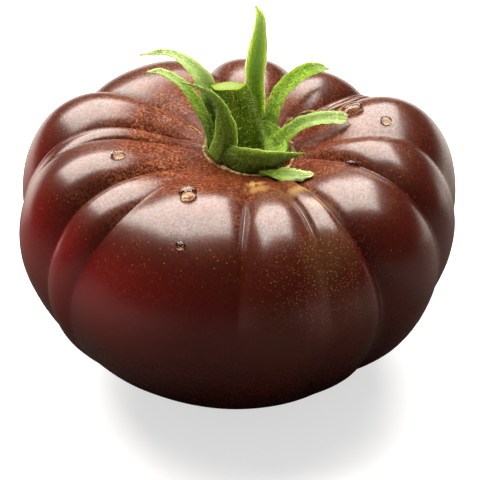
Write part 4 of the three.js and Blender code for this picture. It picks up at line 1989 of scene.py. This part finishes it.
@dataclass(frozen=True)
class WaterBeads:
    """Beads of water that sit on the skin."""

    beads: tuple[Bead, ...] = (
        Bead(-10.9, -25.4, 4.1, 3.8, 2.9, 0),
        Bead(-12.3, -37.9, 2.2, 2.1, 1.3, 0),
        Bead(-27.0, -10.5, 3.8, 2.2, 1.7, 20),
        Bead(26.7, 8.0, 5.9, 3.7, 2.4, -8),
        Bead(34.3, 2.6, 2.7, 2.2, 1.5, -15),
        Bead(25.9, -11.1, 3.3, 2.4, 1.6, -10),
    )
    sunk: float = 0.22
    slump: float = 0.985
    roundness: int = 5

    def tree(self) -> bpy.types.NodeTree:
        """Builds the tree that puts a rounded drop on each point.

        Returns:
            The whole tree.
        """
        wiring = ShapeWiring("water beads", {"Roundness": self.roundness})
        drop = wiring.add("GeometryNodeMeshIcoSphere", {
            "Radius": 0.5, "Subdivisions": wiring.size("Roundness"),
        })
        place = wiring.position()
        slumped = wiring.between(wiring.split(place)[2], 0.0, 0.5, 1.0, self.slump)
        shape = wiring.vector("MULTIPLY", place, wiring.joined(slumped, slumped, 1.0))
        dome = wiring.moved(drop.outputs[0], Position=shape)
        dome = wiring.add("GeometryNodeSetShadeSmooth", {"Geometry": dome}).outputs[0]
        upright = wiring.add("FunctionNodeAxesToRotation", {
            "Primary Axis": wiring.mark("out", vector=True),
            "Secondary Axis": wiring.mark("ahead", vector=True),
        }, primary_axis="Z", secondary_axis="X").outputs[0]
        placed = wiring.add("GeometryNodeInstanceOnPoints", {
            "Points": wiring.size("Geometry"), "Instance": dome, "Rotation": upright,
            "Scale": wiring.mark("drop_size", vector=True),
        }).outputs[0]
        return wiring.finished(placed)

    def build(self, surface: SkinSurface, finish: bpy.types.Material) -> None:
        """Builds all the beads as one piece.

        Args:
            surface: The skin that they sit on.
            finish: The water's material.
        """
        spots, outs, aheads, sizes = [], [], [], []
        for bead in self.beads:
            place, normal = surface.below(bead.x, bead.y)
            raised = bead.height * (0.5 - self.sunk)
            spots.append(place + normal * raised * MM)
            outs.append(normal)
            turn = math.radians(bead.heading)
            aheads.append(Vector((math.cos(turn), math.sin(turn), 0)))
            sizes.append(Vector((bead.length, bead.width, bead.height)) * MM)
        marks = {"out": np.array(outs), "ahead": np.array(aheads), "drop_size": np.array(sizes)}
        start = new_mesh("bead_points", np.array(spots), [], marks)
        seated(grown("water_beads", start, self.tree(), {"Roundness": self.roundness}, finish))


# ---- Studio ----


@dataclass(frozen=True)
class Studio:
    """The pale floor, the soft light overhead and the camera."""

    floor_size: float = 6000.0
    floor_gap: float = 0.05
    target: Point = (0.5, 1.0, 34.0)
    elevation: float = 37.0
    distance: float = 450.0
    view_width: float = 116.0
    sensor: float = 36.0
    softbox_towards: Point = (-0.12, 0.44, 1.0)
    softbox_distance: float = 600.0
    softbox_width: float = 800.0
    softbox_depth: float = 740.0
    softbox_power: float = 22.0
    warmth: Colour = (1.0, 0.95, 0.89)
    fill_light: float = 0.32
    gloss_light: float = 0.015

    def floor(self, effects: Effects) -> None:
        """Lays the floor under the fruit.

        Args:
            effects: The shared shader groups.
        """
        half = self.floor_size / 2 * MM
        level = -self.floor_gap * MM
        corners = np.array([(x * half, y * half, level) for x, y in ((-1, -1), (1, -1), (1, 1), (-1, 1))])
        card = new_object("floor", new_mesh("floor", corners, [(0, 1, 2, 3)], {}))
        card.data.materials.append(FloorFinish().build(effects))

    def lights(self) -> None:
        """Hangs the softbox and sets the dim surroundings."""
        lamp = bpy.data.lights.new("softbox", "AREA")
        lamp.shape = "RECTANGLE"
        lamp.size, lamp.size_y = self.softbox_width * MM, self.softbox_depth * MM
        lamp.energy = self.softbox_power
        lamp.color = self.warmth
        holder = new_object("softbox", lamp)
        towards = Vector(self.softbox_towards).normalized()
        holder.location = (Vector(self.target) + towards * self.softbox_distance) * MM
        holder.rotation_euler = towards.to_track_quat("Z", "Y").to_euler()
        world = bpy.data.worlds.new("studio")
        world.use_nodes = True
        wiring = Wiring(world.node_tree)
        rays = wiring.add("ShaderNodeLightPath").outputs
        background = world.node_tree.nodes["Background"]
        background.inputs["Color"].default_value = (1.0, 1.0, 1.0, 1.0)
        wiring.feed(background.inputs["Strength"],
                    wiring.blend(rays["Is Diffuse Ray"], self.gloss_light, self.fill_light))
        bpy.context.scene.world = world
        bpy.context.scene.view_settings.view_transform = "Standard"

    def camera(self) -> None:
        """Stands the camera in front of the fruit, looking down on it."""
        lens = bpy.data.cameras.new("camera")
        lens.sensor_width = self.sensor
        lens.lens = self.sensor * self.distance / self.view_width
        lens.clip_start = 10 * MM
        camera = new_object("camera", lens)
        lift = math.radians(self.elevation)
        towards = Vector((0, -math.cos(lift), math.sin(lift)))
        camera.location = (Vector(self.target) + towards * self.distance) * MM
        camera.rotation_euler = towards.to_track_quat("Z", "Y").to_euler()
        bpy.context.scene.camera = camera


# ---- The whole tomato ----


def main() -> None:
    """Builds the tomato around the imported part, piece by piece, and the studio around it."""
    logging.basicConfig(level=logging.INFO, format="%(name)s: %(message)s")
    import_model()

    effects = Effects.build()
    skin = FruitSkin().build(SkinFinish().build(effects))
    surface = SkinSurface(skin)
    CorkRing().build(surface, CorkFinish().build(effects))
    cup = CalyxCup().build(effects)
    blades = Sepals().build(effects)
    stalk = Stalk().build(StalkFinish().build(effects))

    Down().build([
        DownPatch("sepal_down", blades, per_mm2=3.2, slot=Slot.LEAF, seed=1),
        DownPatch("calyx_down", [cup], per_mm2=3.0, slot=Slot.LEAF, seed=2),
        DownPatch("stalk_down", [stalk], per_mm2=2.4, slot=Slot.STALK, seed=3),
    ], DownFinish().build(effects))
    WaterBeads().build(surface, WaterFinish().build(effects))

    studio = Studio()
    studio.floor(effects)
    studio.lights()
    studio.camera()


if __name__ == "__main__":
    main()
